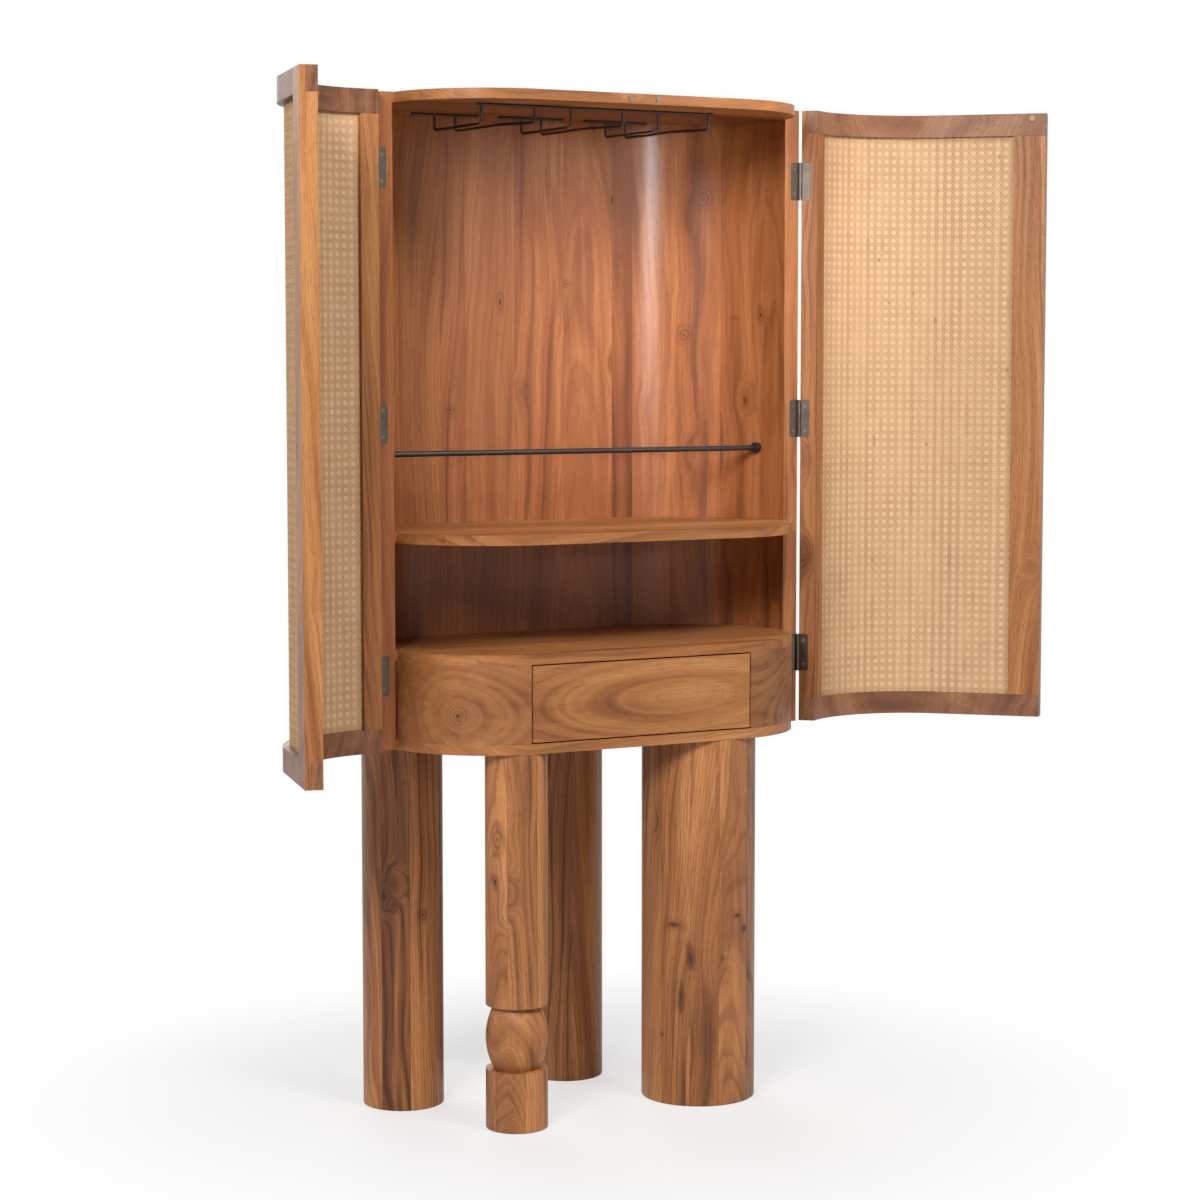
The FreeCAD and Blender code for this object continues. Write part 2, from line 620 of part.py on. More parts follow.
def build_doors():
    """Two framed doors, halved together at the corners, with cane on both faces of a thin core."""
    seam_cut = box(-WIDTH, 0, SEAM_Y - SEAM / 2, WIDTH, 0, TOTAL_HEIGHT + BOARD)
    stile_inner = DOOR_END - MEETING_STILE
    lap_out = END_RADIUS - STILE_LAP
    groove_turn = math.degrees(PANEL_GROOVE / MIDDLE_RADIUS)
    fit_turn = math.degrees(PANEL_FIT / MIDDLE_RADIUS)
    top = TOTAL_HEIGHT
    groove = door_wall(
        CORE_INSIDE - TONGUE_FIT,
        CORE_OUTSIDE + TONGUE_FIT,
        STILE_TURN - groove_turn,
        stile_inner + PANEL_GROOVE,
        DOOR_OPEN_BASE - PANEL_GROOVE,
        DOOR_OPEN_TOP + PANEL_GROOVE,
    )
    hinge_stile = end_wall(INNER_RADIUS, END_RADIUS, 0, STILE_TURN, DOOR_BASE, top)
    meeting_stile = box(stile_inner, DOOR_END, -END_RADIUS, -INNER_RADIUS, DOOR_BASE, top)
    rails = []
    for low, high in ((DOOR_BASE, DOOR_OPEN_BASE), (DOOR_OPEN_TOP, top)):
        body = door_wall(INNER_RADIUS, END_RADIUS, STILE_TURN, stile_inner, low, high)
        lap = door_wall(INNER_RADIUS, lap_out, 0, DOOR_END, low, high)
        rails.append(body.fuse(lap).cut([seam_cut, groove]).removeSplitter())
        room_low = low if low == DOOR_BASE else low - TONGUE_FIT
        room_high = high if high == top else high + TONGUE_FIT
        room = door_wall(INNER_RADIUS - BOARD, lap_out + TONGUE_FIT, 0, DOOR_END, room_low, room_high)
        hinge_stile = hinge_stile.cut(room)
        meeting_stile = meeting_stile.cut(room)
    hinge_stile = hinge_stile.cut([seam_cut, groove] + [hinge_recess(z, -1) for z in HINGE_HEIGHTS])
    meeting_stile = meeting_stile.cut(groove)
    core = door_wall(
        CORE_INSIDE,
        CORE_OUTSIDE,
        STILE_TURN - groove_turn + fit_turn,
        stile_inner + PANEL_GROOVE - PANEL_FIT,
        DOOR_OPEN_BASE - PANEL_GROOVE + PANEL_FIT,
        DOOR_OPEN_TOP + PANEL_GROOVE - PANEL_FIT,
    )
    sheets = {}
    for face, inside, outside in (
        ("outer", CORE_OUTSIDE + TONGUE_FIT, CANE_OUTSIDE),
        ("inner", CANE_INSIDE, CORE_INSIDE - TONGUE_FIT),
    ):
        sheets[face] = door_wall(
            inside,
            outside,
            STILE_TURN + fit_turn,
            stile_inner - PANEL_FIT,
            DOOR_OPEN_BASE + PANEL_FIT,
            DOOR_OPEN_TOP - PANEL_FIT,
        )
    strike_middle = Vector(-CATCH_OFFSET, -INNER_RADIUS, catch_height())
    strike = Part.makeCylinder(STRIKE_RADIUS, STRIKE, strike_middle, BACKWARD)
    for side in ("left", "right"):
        save(side + "_door_hinge_stile", on_door(hinge_stile, side))
        save(side + "_door_meeting_stile", on_door(meeting_stile, side))
        save(side + "_door_bottom_rail", on_door(rails[0], side))
        save(side + "_door_top_rail", on_door(rails[1], side))
        save(side + "_door_core", on_door(core, side))
        save(side + "_door_outer_cane", on_door(sheets["outer"], side))
        save(side + "_door_inner_cane", on_door(sheets["inner"], side))
        save(side + "_door_strike", on_door(strike, side))
        save(side + "_hinge_door_leaves", *[on_door(h[1], side) for h in HINGES])
        screws = [on_door(countersunk(*place), side) for h in HINGES for place in h[4]]
        save(side + "_hinge_door_screws", *screws)


def main():
    """Build every piece and write each to its own file."""
    build_shell()
    build_boards()
    build_catches()
    build_drawer_case()
    build_drawer()
    build_guard_rod()
    build_rack()
    build_legs()
    build_doors()
    os.makedirs("parts", exist_ok=True)
    for name, shape in NODES.items():
        if not shape.isValid():
            print("not valid:", name)
        shape.exportStep("parts/" + name + ".step")
    print(len(NODES), "pieces")


main()
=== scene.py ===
"""Dresses the bar armoire: its wood, woven cane and metal, the studio round it and the camera."""
from __future__ import annotations

import logging
import math
from dataclasses import dataclass, field
from enum import Enum
from functools import partialmethod
from typing import Any

import bpy
import numpy as np
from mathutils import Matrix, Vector

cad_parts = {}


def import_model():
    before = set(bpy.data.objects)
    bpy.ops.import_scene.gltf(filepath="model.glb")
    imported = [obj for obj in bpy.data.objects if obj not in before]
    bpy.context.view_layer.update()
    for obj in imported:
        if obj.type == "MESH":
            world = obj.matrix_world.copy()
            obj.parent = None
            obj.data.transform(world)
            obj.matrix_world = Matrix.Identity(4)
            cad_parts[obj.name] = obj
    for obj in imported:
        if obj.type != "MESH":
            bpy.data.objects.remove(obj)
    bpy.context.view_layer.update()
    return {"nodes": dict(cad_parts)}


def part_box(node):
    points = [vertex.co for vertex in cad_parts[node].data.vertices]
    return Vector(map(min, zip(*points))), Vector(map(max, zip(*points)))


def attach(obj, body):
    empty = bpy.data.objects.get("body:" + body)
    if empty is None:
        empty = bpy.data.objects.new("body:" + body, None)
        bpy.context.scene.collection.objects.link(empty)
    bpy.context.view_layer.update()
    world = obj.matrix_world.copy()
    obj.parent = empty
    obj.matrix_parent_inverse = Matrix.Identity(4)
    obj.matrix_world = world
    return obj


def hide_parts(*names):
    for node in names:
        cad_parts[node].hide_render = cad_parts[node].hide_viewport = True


LOG = logging.getLogger("bar_armoire")
FLAT_MAP = "flat"
NOWHERE = (0.0, 0.0, 0.0)
WHITE = (1.0, 1.0, 1.0, 1.0)
MIDDLE = 0.5
MERGE_REACH = 1e-6
END_SIDES = 4
CROWN_ANGLE = 82.0

Colour = tuple[float, float, float]
Place = tuple[float, float, float]
Step = tuple[float, float]
Change = tuple[float, float, float, float]
Socket = bpy.types.NodeSocket
Material = bpy.types.Material
Piece = bpy.types.Object


class Grain(Enum):
    """The way the fibres of a wooden piece run, as an order of its axes that has the fibres last."""

    UPRIGHT = (0, 1, 2)
    ACROSS = (2, 1, 0)
    INWARD = (0, 2, 1)


class Staves(Enum):
    """How a piece is glued up from narrower boards."""

    NONE = "one board"
    ACROSS = "boards side by side from left to right"
    DEEP = "boards side by side from front to back"
    LEFT_END = "boards side by side round the left end"
    RIGHT_END = "boards side by side round the right end"


class Figure(Enum):
    """The lines that a board was cut to show."""

    STRAIGHT = "lines along the fibres"
    FLAME = "arches round the heart"


class Strand(Enum):
    """The way a strand of cane runs, by the number of its finish."""

    UPRIGHT = 0
    LEVEL = 1
    SLANTING = 2


class Recipe:
    """A material's node tree, with short calls for the nodes that the finishes share."""

    def __init__(self, name: str) -> None:
        """Start an empty finish.

        Args:
            name: The material's name.
        """
        self.material = bpy.data.materials.new(name)
        self.material.use_nodes = True
        self.tree = self.material.node_tree
        self.shader = self.tree.nodes["Principled BSDF"]

    def add(self, kind: str, inputs: dict[str | int, Any], **settings: Any) -> bpy.types.Node:
        """Add a node.

        Args:
            kind: The node's type.
            inputs: Values or sockets for its inputs, by name or number.
            **settings: Values for its own settings.

        Returns:
            The new node.
        """
        node = self.tree.nodes.new(kind)
        for key, value in settings.items():
            setattr(node, key, value)
        for key, value in inputs.items():
            if isinstance(value, Socket):
                self.tree.links.new(value, node.inputs[key])
            else:
                node.inputs[key].default_value = value
        return node

    def math(self, operation: str, first: Any, second: Any = 0.0) -> Socket:
        """Work out one number from two.

        Args:
            operation: The node's operation.
            first: First value or socket.
            second: Second value or socket.

        Returns:
            The result.
        """
        return self.add("ShaderNodeMath", {0: first, 1: second}, operation=operation).outputs[0]

    times = partialmethod(math, "MULTIPLY")
    plus = partialmethod(math, "ADD")
    minus = partialmethod(math, "SUBTRACT")

    def scaled(self, value: Any, factor: Any, shift: Any) -> Socket:
        """Multiply a number and then add to it.

        Args:
            value: The value or socket.
            factor: What it is multiplied by.
            shift: What is added.

        Returns:
            The result.
        """
        inputs = {0: value, 1: factor, 2: shift}
        return self.add("ShaderNodeMath", inputs, operation="MULTIPLY_ADD").outputs[0]

    def vector(self, operation: str, first: Any, second: Any = NOWHERE, output: str = "Vector") -> Socket:
        """Work out a vector or a number from two vectors.

        Args:
            operation: The node's operation.
            first: First vector or socket.
            second: Second vector or socket.
            output: "Vector", or "Value" where the operation gives a number.

        Returns:
            The result.
        """
        inputs = {0: first, 1: second}
        return self.add("ShaderNodeVectorMath", inputs, operation=operation).outputs[output]

    def combine(self, x: Any, y: Any, z: Any) -> Socket:
        """Join three numbers.

        Args:
            x: First value or socket.
            y: Second value or socket.
            z: Third value or socket.

        Returns:
            The vector.
        """
        return self.add("ShaderNodeCombineXYZ", {0: x, 1: y, 2: z}).outputs[0]

    def split(self, vector: Socket) -> tuple[Socket, Socket, Socket]:
        """Part a vector into its three numbers.

        Args:
            vector: The vector.

        Returns:
            Its three numbers.
        """
        outputs = self.add("ShaderNodeSeparateXYZ", {0: vector}).outputs
        return outputs[0], outputs[1], outputs[2]

    def mix(self, factor: Any, first: Any, second: Any) -> Socket:
        """Mix two colours.

        Args:
            factor: How much of the second.
            first: First colour or socket.
            second: Second colour or socket.

        Returns:
            The mixed colour.
        """
        first = (*first, 1.0) if isinstance(first, tuple) else first
        second = (*second, 1.0) if isinstance(second, tuple) else second
        return self.add("ShaderNodeMix", {0: factor, 6: first, 7: second}, data_type="RGBA").outputs[2]

    def smooth(self, value: Socket, low: float, high: float, start: float = 0.0, end: float = 1.0) -> Socket:
        """Step gently from one number to another.

        Args:
            value: What is measured.
            low: Where the step starts.
            high: Where the step ends.
            start: The result below the step.
            end: The result above it.

        Returns:
            The stepped number.
        """
        inputs = {"Value": value, "From Min": low, "From Max": high, "To Min": start, "To Max": end}
        return self.add("ShaderNodeMapRange", inputs, interpolation_type="SMOOTHSTEP").outputs[0]

    def ridge(self, value: Socket, low: float, top: float) -> Socket:
        """Draw a line that darkens slowly and ends sooner.

        Args:
            value: A number that runs from 0 to 1.
            low: Where the line starts.
            top: Where it is darkest.

        Returns:
            The line's depth.
        """
        return self.times(self.smooth(value, low, top), self.smooth(value, top, 1.0, 1.0, 0.0))

    def noise(self, vector: Socket, stretch: Place, detail: float = 2.0) -> Socket:
        """Take soft random tones from a point.

        Args:
            vector: The point.
            stretch: How fast the tones change along each axis.
            detail: How many finer layers there are.

        Returns:
            A tone from 0 to 1.
        """
        point = self.vector("MULTIPLY", vector, stretch)
        inputs = {"Vector": point, "Scale": 1.0, "Detail": detail}
        return self.add("ShaderNodeTexNoise", inputs).outputs["Fac"]

    def place(self, turn: float = 0.0) -> Socket:
        """Give the point of the piece, turned about the upright.

        Args:
            turn: Degrees.

        Returns:
            The point.
        """
        point = self.add("ShaderNodeTexCoord", {}).outputs["Object"]
        if not turn:
            return point
        turned = {"Vector": point, "Rotation": (0.0, 0.0, math.radians(turn))}
        return self.add("ShaderNodeMapping", turned).outputs[0]

    def relief(self, height: Socket, depth: float, edge: float = 0.0) -> None:
        """Roughen the surface and ease its edges.

        Args:
            height: The pattern that is raised.
            depth: How far it is raised, in metres.
            edge: How far the edges look rounded, in metres.
        """
        inputs: dict[str | int, Any] = {"Height": height, "Strength": 1.0, "Distance": depth}
        if edge:
            inputs["Normal"] = self.add("ShaderNodeBevel", {"Radius": edge}, samples=4).outputs[0]
        bump = self.add("ShaderNodeBump", inputs)
        self.show(bump.outputs[0], "Normal")

    def show(self, pattern: Socket, name: str) -> None:
        """Link a pattern to the shader.

        Args:
            pattern: The pattern.
            name: The shader's input.
        """
        self.tree.links.new(pattern, self.shader.inputs[name])


@dataclass(frozen=True)
class Knot:
    """A knot or crack that shows at one place on a piece.

    Its reach and ring are in metres and its length in widths. The rest are shares.
    """

    place: Place
    reach: float
    ring: float = 0.006
    length: float = 1.0
    strength: float = 0.9
    wobble_rate: Place = (0.9, 0.9, 0.7)
    wobble: float = 0.6
    clear: float = 0.30
    eye: Step = (0.05, 0.22)
    line: Step = (0.1, 0.95)
    shade: float = 0.35
    line_depth: float = 0.5


@dataclass(frozen=True)
class WoodTone:
    """The colours of one kind of oiled board."""

    pale: Colour
    middle: Colour
    deep: Colour
    vein: Colour
    tan: Colour


HONEY = WoodTone(
    pale=(0.49, 0.219, 0.075),
    middle=(0.37, 0.143, 0.044),
    deep=(0.22, 0.073, 0.021),
    vein=(0.08, 0.026, 0.009),
    tan=(0.42, 0.197, 0.066),
)
CHESTNUT = WoodTone(
    pale=(0.5, 0.188, 0.065),
    middle=(0.37, 0.122, 0.038),
    deep=(0.21, 0.062, 0.019),
    vein=(0.09, 0.026, 0.009),
    tan=(0.4, 0.169, 0.057),
)
WALNUT = WoodTone(
    pale=(0.33, 0.150, 0.075),
    middle=(0.235, 0.095, 0.044),
    deep=(0.14, 0.052, 0.024),
    vein=(0.050, 0.018, 0.009),
    tan=(0.30, 0.140, 0.065),
)
TRUNK = WoodTone(
    pale=(0.55, 0.232, 0.081),
    middle=(0.365, 0.135, 0.045),
    deep=(0.15, 0.049, 0.016),
    vein=(0.04, 0.014, 0.006),
    tan=(0.47, 0.217, 0.076),
)
RUSSET = WoodTone(
    pale=(0.4, 0.172, 0.060),
    middle=(0.3, 0.113, 0.036),
    deep=(0.18, 0.059, 0.018),
    vein=(0.07, 0.023, 0.008),
    tan=(0.34, 0.158, 0.054),
)
PLAIN = WoodTone(
    pale=(0.50, 0.280, 0.150),
    middle=(0.42, 0.215, 0.108),
    deep=(0.32, 0.150, 0.073),
    vein=(0.200, 0.085, 0.040),
    tan=(0.46, 0.260, 0.140),
)


@dataclass(frozen=True)
class WoodPattern:
    """What the grain of all the boards has in common.

    A rate says how fast a pattern changes across, through and along the fibres. A step is where a soft
    change starts and ends, and a change has the values below and above its step too.
    """

    end_middle: float = 0.206
    end_radius: float = 0.215
    first_stave: float = 20.37
    stave_shift: Place = (0.21, 0.17, 1.7)
    joint_width: float = 0.0007
    joint_depth: float = 0.5
    slow_bend: Place = (3.2, 3.2, 1.3)
    quick_bend: Place = (17.0, 17.0, 4.2)
    quick_share: float = 0.13
    knot_cells: Place = (9.0, 9.0, 5.5)
    knot_chance: Step = (0.98, 1.0)
    knot_reach: Step = (0.0, 0.42)
    knot_core: Step = (0.03, 0.075)
    knot_swell: float = 0.032
    near_depth: float = 0.35
    core_depth: float = 0.9
    band_rate: float = 0.62
    band_length: float = 0.7
    band_weight: float = 1.5
    ring_shift: float = 2.2
    ring_rise: Step = (0.42, 0.90)
    fine_rate: float = 3.3
    fine_shift: float = 5.0
    fine_rise: Step = (0.45, 0.88)
    fine_depth: float = 0.42
    streak_rate: Place = (52.0, 52.0, 1.6)
    streak_weight: float = 0.7
    broad_rate: Place = (6.0, 6.0, 0.9)
    broad_weight: float = 0.9
    thread_rate: Place = (620.0, 620.0, 11.0)
    thread_by_noise: Change = (0.42, 0.75, 0.0, 0.30)
    thread_height: float = 0.5
    pore_rate: Place = (1300.0, 1300.0, 38.0)
    pore_step: Step = (0.60, 0.70)
    pore_depth: float = 0.40
    middle_step: Step = (0.22, 0.52)
    deep_step: Step = (0.50, 0.92)
    vein_by_broad: Change = (0.40, 0.64, 0.18, 1.0)
    vein_by_streak: Change = (0.34, 0.60, 0.35, 1.0)
    vein_depth: float = 0.80
    matt_range: float = 0.16
    relief: float = 0.00016
    edge: float = 0.0014


PATTERN = WoodPattern()


@dataclass(frozen=True)
class Boards:
    """What changes from one glued board of a piece to the next."""

    tone: Any = MIDDLE
    hue: Any = MIDDLE
    shift: Socket | None = None
    joint: Socket | None = None


@dataclass(frozen=True)
class WoodFinish:
    """An oiled wooden surface with rings, streaks, fibres, pores and knots."""

    tone: WoodTone
    grain: Grain = Grain.UPRIGHT
    turn: float = 0.0
    staves: Staves = Staves.NONE
    stave_width: float = 0.09
    patchwork: float = 0.34
    figure: Figure = Figure.STRAIGHT
    heart: Place = (0.16, 0.31, 0.0)
    ring: float = 0.016
    stretch: float = 0.10
    tilt: float = 0.07
    sway: float = 0.10
    contrast: float = 0.75
    knots: float = 0.4
    marks: tuple[Knot, ...] = ()
    roughness: float = 0.42
    gleam: float = 0.3
    seed: float = 0.0

    def boards(self, recipe: Recipe, point: Socket) -> Boards:
        """Make each board of a glued piece a little different.

        Args:
            recipe: The material.
            point: The point of the piece.

        Returns:
            What the boards change.
        """
        if self.staves is Staves.NONE:
            return Boards()
        x, y, _ = recipe.split(point)
        if self.staves is Staves.ACROSS:
            across = x
        elif self.staves is Staves.DEEP:
            across = y
        else:
            middle = PATTERN.end_middle if self.staves is Staves.LEFT_END else -PATTERN.end_middle
            angle = recipe.math("ARCTAN2", y, recipe.math("ABSOLUTE", recipe.plus(x, middle)))
            across = recipe.times(angle, PATTERN.end_radius)
        across = recipe.plus(recipe.math("DIVIDE", across, self.stave_width), PATTERN.first_stave + self.seed)
        number = recipe.math("FLOOR", across)
        chance = recipe.add("ShaderNodeTexWhiteNoise", {"W": number}, noise_dimensions="1D")
        part = recipe.math("ABSOLUTE", recipe.minus(recipe.math("FRACT", across), MIDDLE))
        return Boards(
            tone=chance.outputs["Value"],
            hue=recipe.split(chance.outputs["Color"])[1],
            shift=recipe.vector("MULTIPLY", chance.outputs["Color"], PATTERN.stave_shift),
            joint=recipe.smooth(part, MIDDLE - PATTERN.joint_width / self.stave_width, MIDDLE),
        )

    def swayed(self, recipe: Recipe, fibre: Socket) -> Socket:
        """Bend the fibres slowly and then finely.

        Args:
            recipe: The material.
            fibre: The point along the fibres.

        Returns:
            The bent point.
        """
        half = (MIDDLE, MIDDLE, MIDDLE)
        quick_sway = self.sway * PATTERN.quick_share
        bends = ((PATTERN.slow_bend, self.sway), (PATTERN.quick_bend, quick_sway))
        for rate, reach in bends:
            place = recipe.vector("MULTIPLY", fibre, rate)
            bend = recipe.add("ShaderNodeTexNoise", {"Vector": place, "Scale": 1.0, "Detail": 2.0})
            offset = recipe.vector("SUBTRACT", bend.outputs["Color"], half)
            fibre = recipe.vector("ADD", fibre, recipe.vector("MULTIPLY", offset, (reach, reach, 0.0)))
        return fibre

    def knotted(self, recipe: Recipe, fibre: Socket) -> tuple[Socket, Socket, Socket]:
        """Scatter knots and bend the fibres round them.

        Args:
            recipe: The material.
            fibre: The point along the fibres.

        Returns:
            The bent point, how near a knot is and how near its core is.
        """
        place = recipe.vector("MULTIPLY", fibre, PATTERN.knot_cells)
        cell = recipe.add("ShaderNodeTexVoronoi", {"Vector": place, "Scale": 1.0, "Randomness": 1.0})
        low, high = PATTERN.knot_chance
        chosen = recipe.smooth(recipe.split(cell.outputs["Color"])[0], low - self.knots, high - self.knots)
        near = recipe.times(recipe.smooth(cell.outputs["Distance"], *PATTERN.knot_reach, 1.0, 0.0), chosen)
        core = recipe.times(recipe.smooth(cell.outputs["Distance"], *PATTERN.knot_core, 1.0, 0.0), chosen)
        swell = recipe.times(recipe.math("POWER", near, 2.0), PATTERN.knot_swell)
        return recipe.vector("ADD", fibre, recipe.combine(swell, swell, 0.0)), near, core

    def lines(self, recipe: Recipe, fibre: Socket) -> tuple[Socket, Socket, Socket]:
        """Draw the year rings.

        Args:
            recipe: The material.
            fibre: The point along the fibres.

        Returns:
            Broad bands of good and bad years, the rings and finer lines between them.
        """
        u, v, w = recipe.split(fibre)
        if self.figure is Figure.FLAME:
            reach = recipe.combine(u, v, recipe.times(w, self.stretch))
        else:
            reach = recipe.combine(u, recipe.plus(v, recipe.times(w, self.tilt)), 0.0)
        count = recipe.math("DIVIDE", recipe.vector("LENGTH", reach, output="Value"), self.ring)
        year, length = recipe.times(count, PATTERN.band_rate), recipe.times(w, PATTERN.band_length)
        growth = recipe.combine(year, length, self.seed)
        bands = recipe.noise(growth, (1.0, 1.0, 1.0), 4.0)
        ring = recipe.math("FRACT", recipe.plus(count, recipe.times(bands, PATTERN.ring_shift)))
        fine = recipe.scaled(count, PATTERN.fine_rate, recipe.times(bands, PATTERN.fine_shift))
        fine = recipe.math("FRACT", fine)
        return bands, recipe.ridge(ring, *PATTERN.ring_rise), recipe.ridge(fine, *PATTERN.fine_rise)

    def make(self, name: str) -> Material:
        """Build the finish.

        Args:
            name: The piece or kind of piece that it is for.

        Returns:
            The material.
        """
        recipe = Recipe(f"{name}_wood")
        tone = self.tone
        point = recipe.place(self.turn)
        axes = recipe.split(point)
        fibre = recipe.combine(*(axes[number] for number in self.grain.value))
        fibre = recipe.vector("SUBTRACT", fibre, self.heart)
        boards = self.boards(recipe, point)
        if boards.shift is not None:
            fibre = recipe.vector("ADD", fibre, boards.shift)
        fibre, near, core = self.knotted(recipe, self.swayed(recipe, fibre))
        bands, rings, fine = self.lines(recipe, fibre)
        streak = recipe.noise(fibre, PATTERN.streak_rate, 4.0)
        broad = recipe.noise(fibre, PATTERN.broad_rate, 2.0)
        thread = recipe.noise(fibre, PATTERN.thread_rate, 2.0)
        pore = recipe.smooth(recipe.noise(fibre, PATTERN.pore_rate, 1.0), *PATTERN.pore_step)

        depth: Any = MIDDLE
        patterns = (bands, broad, streak, boards.tone)
        weights = (PATTERN.band_weight, PATTERN.broad_weight, PATTERN.streak_weight, self.patchwork)
        for pattern, weight in zip(patterns, weights):
            depth = recipe.plus(depth, recipe.times(recipe.minus(pattern, MIDDLE), weight))
        colour = recipe.mix(recipe.smooth(depth, *PATTERN.middle_step), tone.pale, tone.middle)
        colour = recipe.mix(recipe.times(boards.hue, self.patchwork), colour, tone.tan)
        colour = recipe.mix(recipe.smooth(depth, *PATTERN.deep_step), colour, tone.deep)
        vein = recipe.times(rings, recipe.smooth(broad, *PATTERN.vein_by_broad))
        vein = recipe.times(vein, recipe.smooth(streak, *PATTERN.vein_by_streak))
        colour = recipe.mix(recipe.times(fine, PATTERN.fine_depth * self.contrast), colour, tone.deep)
        colour = recipe.mix(recipe.times(vein, PATTERN.vein_depth * self.contrast), colour, tone.vein)
        colour = recipe.mix(recipe.smooth(thread, *PATTERN.thread_by_noise), colour, tone.deep)
        colour = recipe.mix(recipe.times(pore, PATTERN.pore_depth), colour, tone.vein)
        colour = recipe.mix(recipe.times(near, PATTERN.near_depth), colour, tone.deep)
        colour = recipe.mix(recipe.times(core, PATTERN.core_depth), colour, tone.vein)
        for mark in self.marks:
            colour = self.marked(recipe, recipe.place(), colour, mark)
        if boards.joint is not None:
            colour = recipe.mix(recipe.times(boards.joint, PATTERN.joint_depth), colour, tone.vein)
        recipe.show(colour, "Base Color")
        recipe.shader.inputs["Specular IOR Level"].default_value = self.gleam
        matt = recipe.scaled(thread, PATTERN.matt_range, self.roughness - PATTERN.matt_range / 2.0)
        recipe.show(matt, "Roughness")
        height = recipe.minus(recipe.times(thread, PATTERN.thread_height), pore)
        recipe.relief(height, PATTERN.relief, PATTERN.edge)
        return recipe.material

    def marked(self, recipe: Recipe, point: Socket, colour: Socket, mark: Knot) -> Socket:
        """Draw one knot with the rings round it.

        Args:
            recipe: The material.
            point: The point of the piece.
            colour: The colour so far.
            mark: The knot.

        Returns:
            The colour with the knot.
        """
        away = recipe.vector("SUBTRACT", point, mark.place)
        away = recipe.vector("MULTIPLY", away, (1.0, 1.0, 1.0 / mark.length))
        x_rate, y_rate, z_rate = mark.wobble_rate
        rate = (x_rate / mark.reach, y_rate / mark.reach, z_rate / mark.reach)
        wobble = recipe.times(recipe.noise(point, rate, 3.0), mark.wobble * mark.reach)
        far = recipe.plus(recipe.vector("LENGTH", away, output="Value"), wobble)
        far = recipe.minus(far, mark.wobble / 2.0 * mark.reach)
        wave = recipe.math("SINE", recipe.times(far, 2.0 * math.pi / mark.ring))
        fade = recipe.smooth(far, mark.clear * mark.reach, mark.reach, 1.0, 0.0)
        eye = recipe.smooth(far, mark.eye[0] * mark.reach, mark.eye[1] * mark.reach, 1.0, 0.0)
        line = recipe.times(recipe.smooth(wave, *mark.line), fade)
        colour = recipe.mix(recipe.times(fade, mark.shade), colour, self.tone.deep)
        colour = recipe.mix(recipe.times(line, mark.line_depth), colour, self.tone.vein)
        return recipe.mix(recipe.times(eye, mark.strength), colour, self.tone.vein)


@dataclass(frozen=True)
class MetalFinish:
    """A metal surface with fine wear."""

    name: str
    colour: Colour
    worn: Colour
    roughness: float
    metallic: float = 1.0
    brush: Place = (260.0, 260.0, 40.0)
    smear: Place = (31.0, 29.0, 33.0)
    wear_step: Step = (0.40, 0.72)
    wear: float = 0.45
    matt_range: float = 0.22
    depth: float = 0.00004
    edge: float = 0.0004

    def make(self) -> Material:
        """Build the finish.

        Returns:
            The material.
        """
        recipe = Recipe(self.name)
        point = recipe.place()
        fine = recipe.noise(point, self.brush, 3.0)
        smear = recipe.noise(point, self.smear, 2.0)
        worn = recipe.smooth(smear, *self.wear_step, 0.0, self.wear)
        recipe.show(recipe.mix(worn, self.colour, self.worn), "Base Color")
        recipe.shader.inputs["Metallic"].default_value = self.metallic
        matt = recipe.scaled(fine, self.matt_range, self.roughness - self.matt_range / 2.0)
        recipe.show(matt, "Roughness")
        recipe.relief(fine, self.depth, self.edge)
        return recipe.material


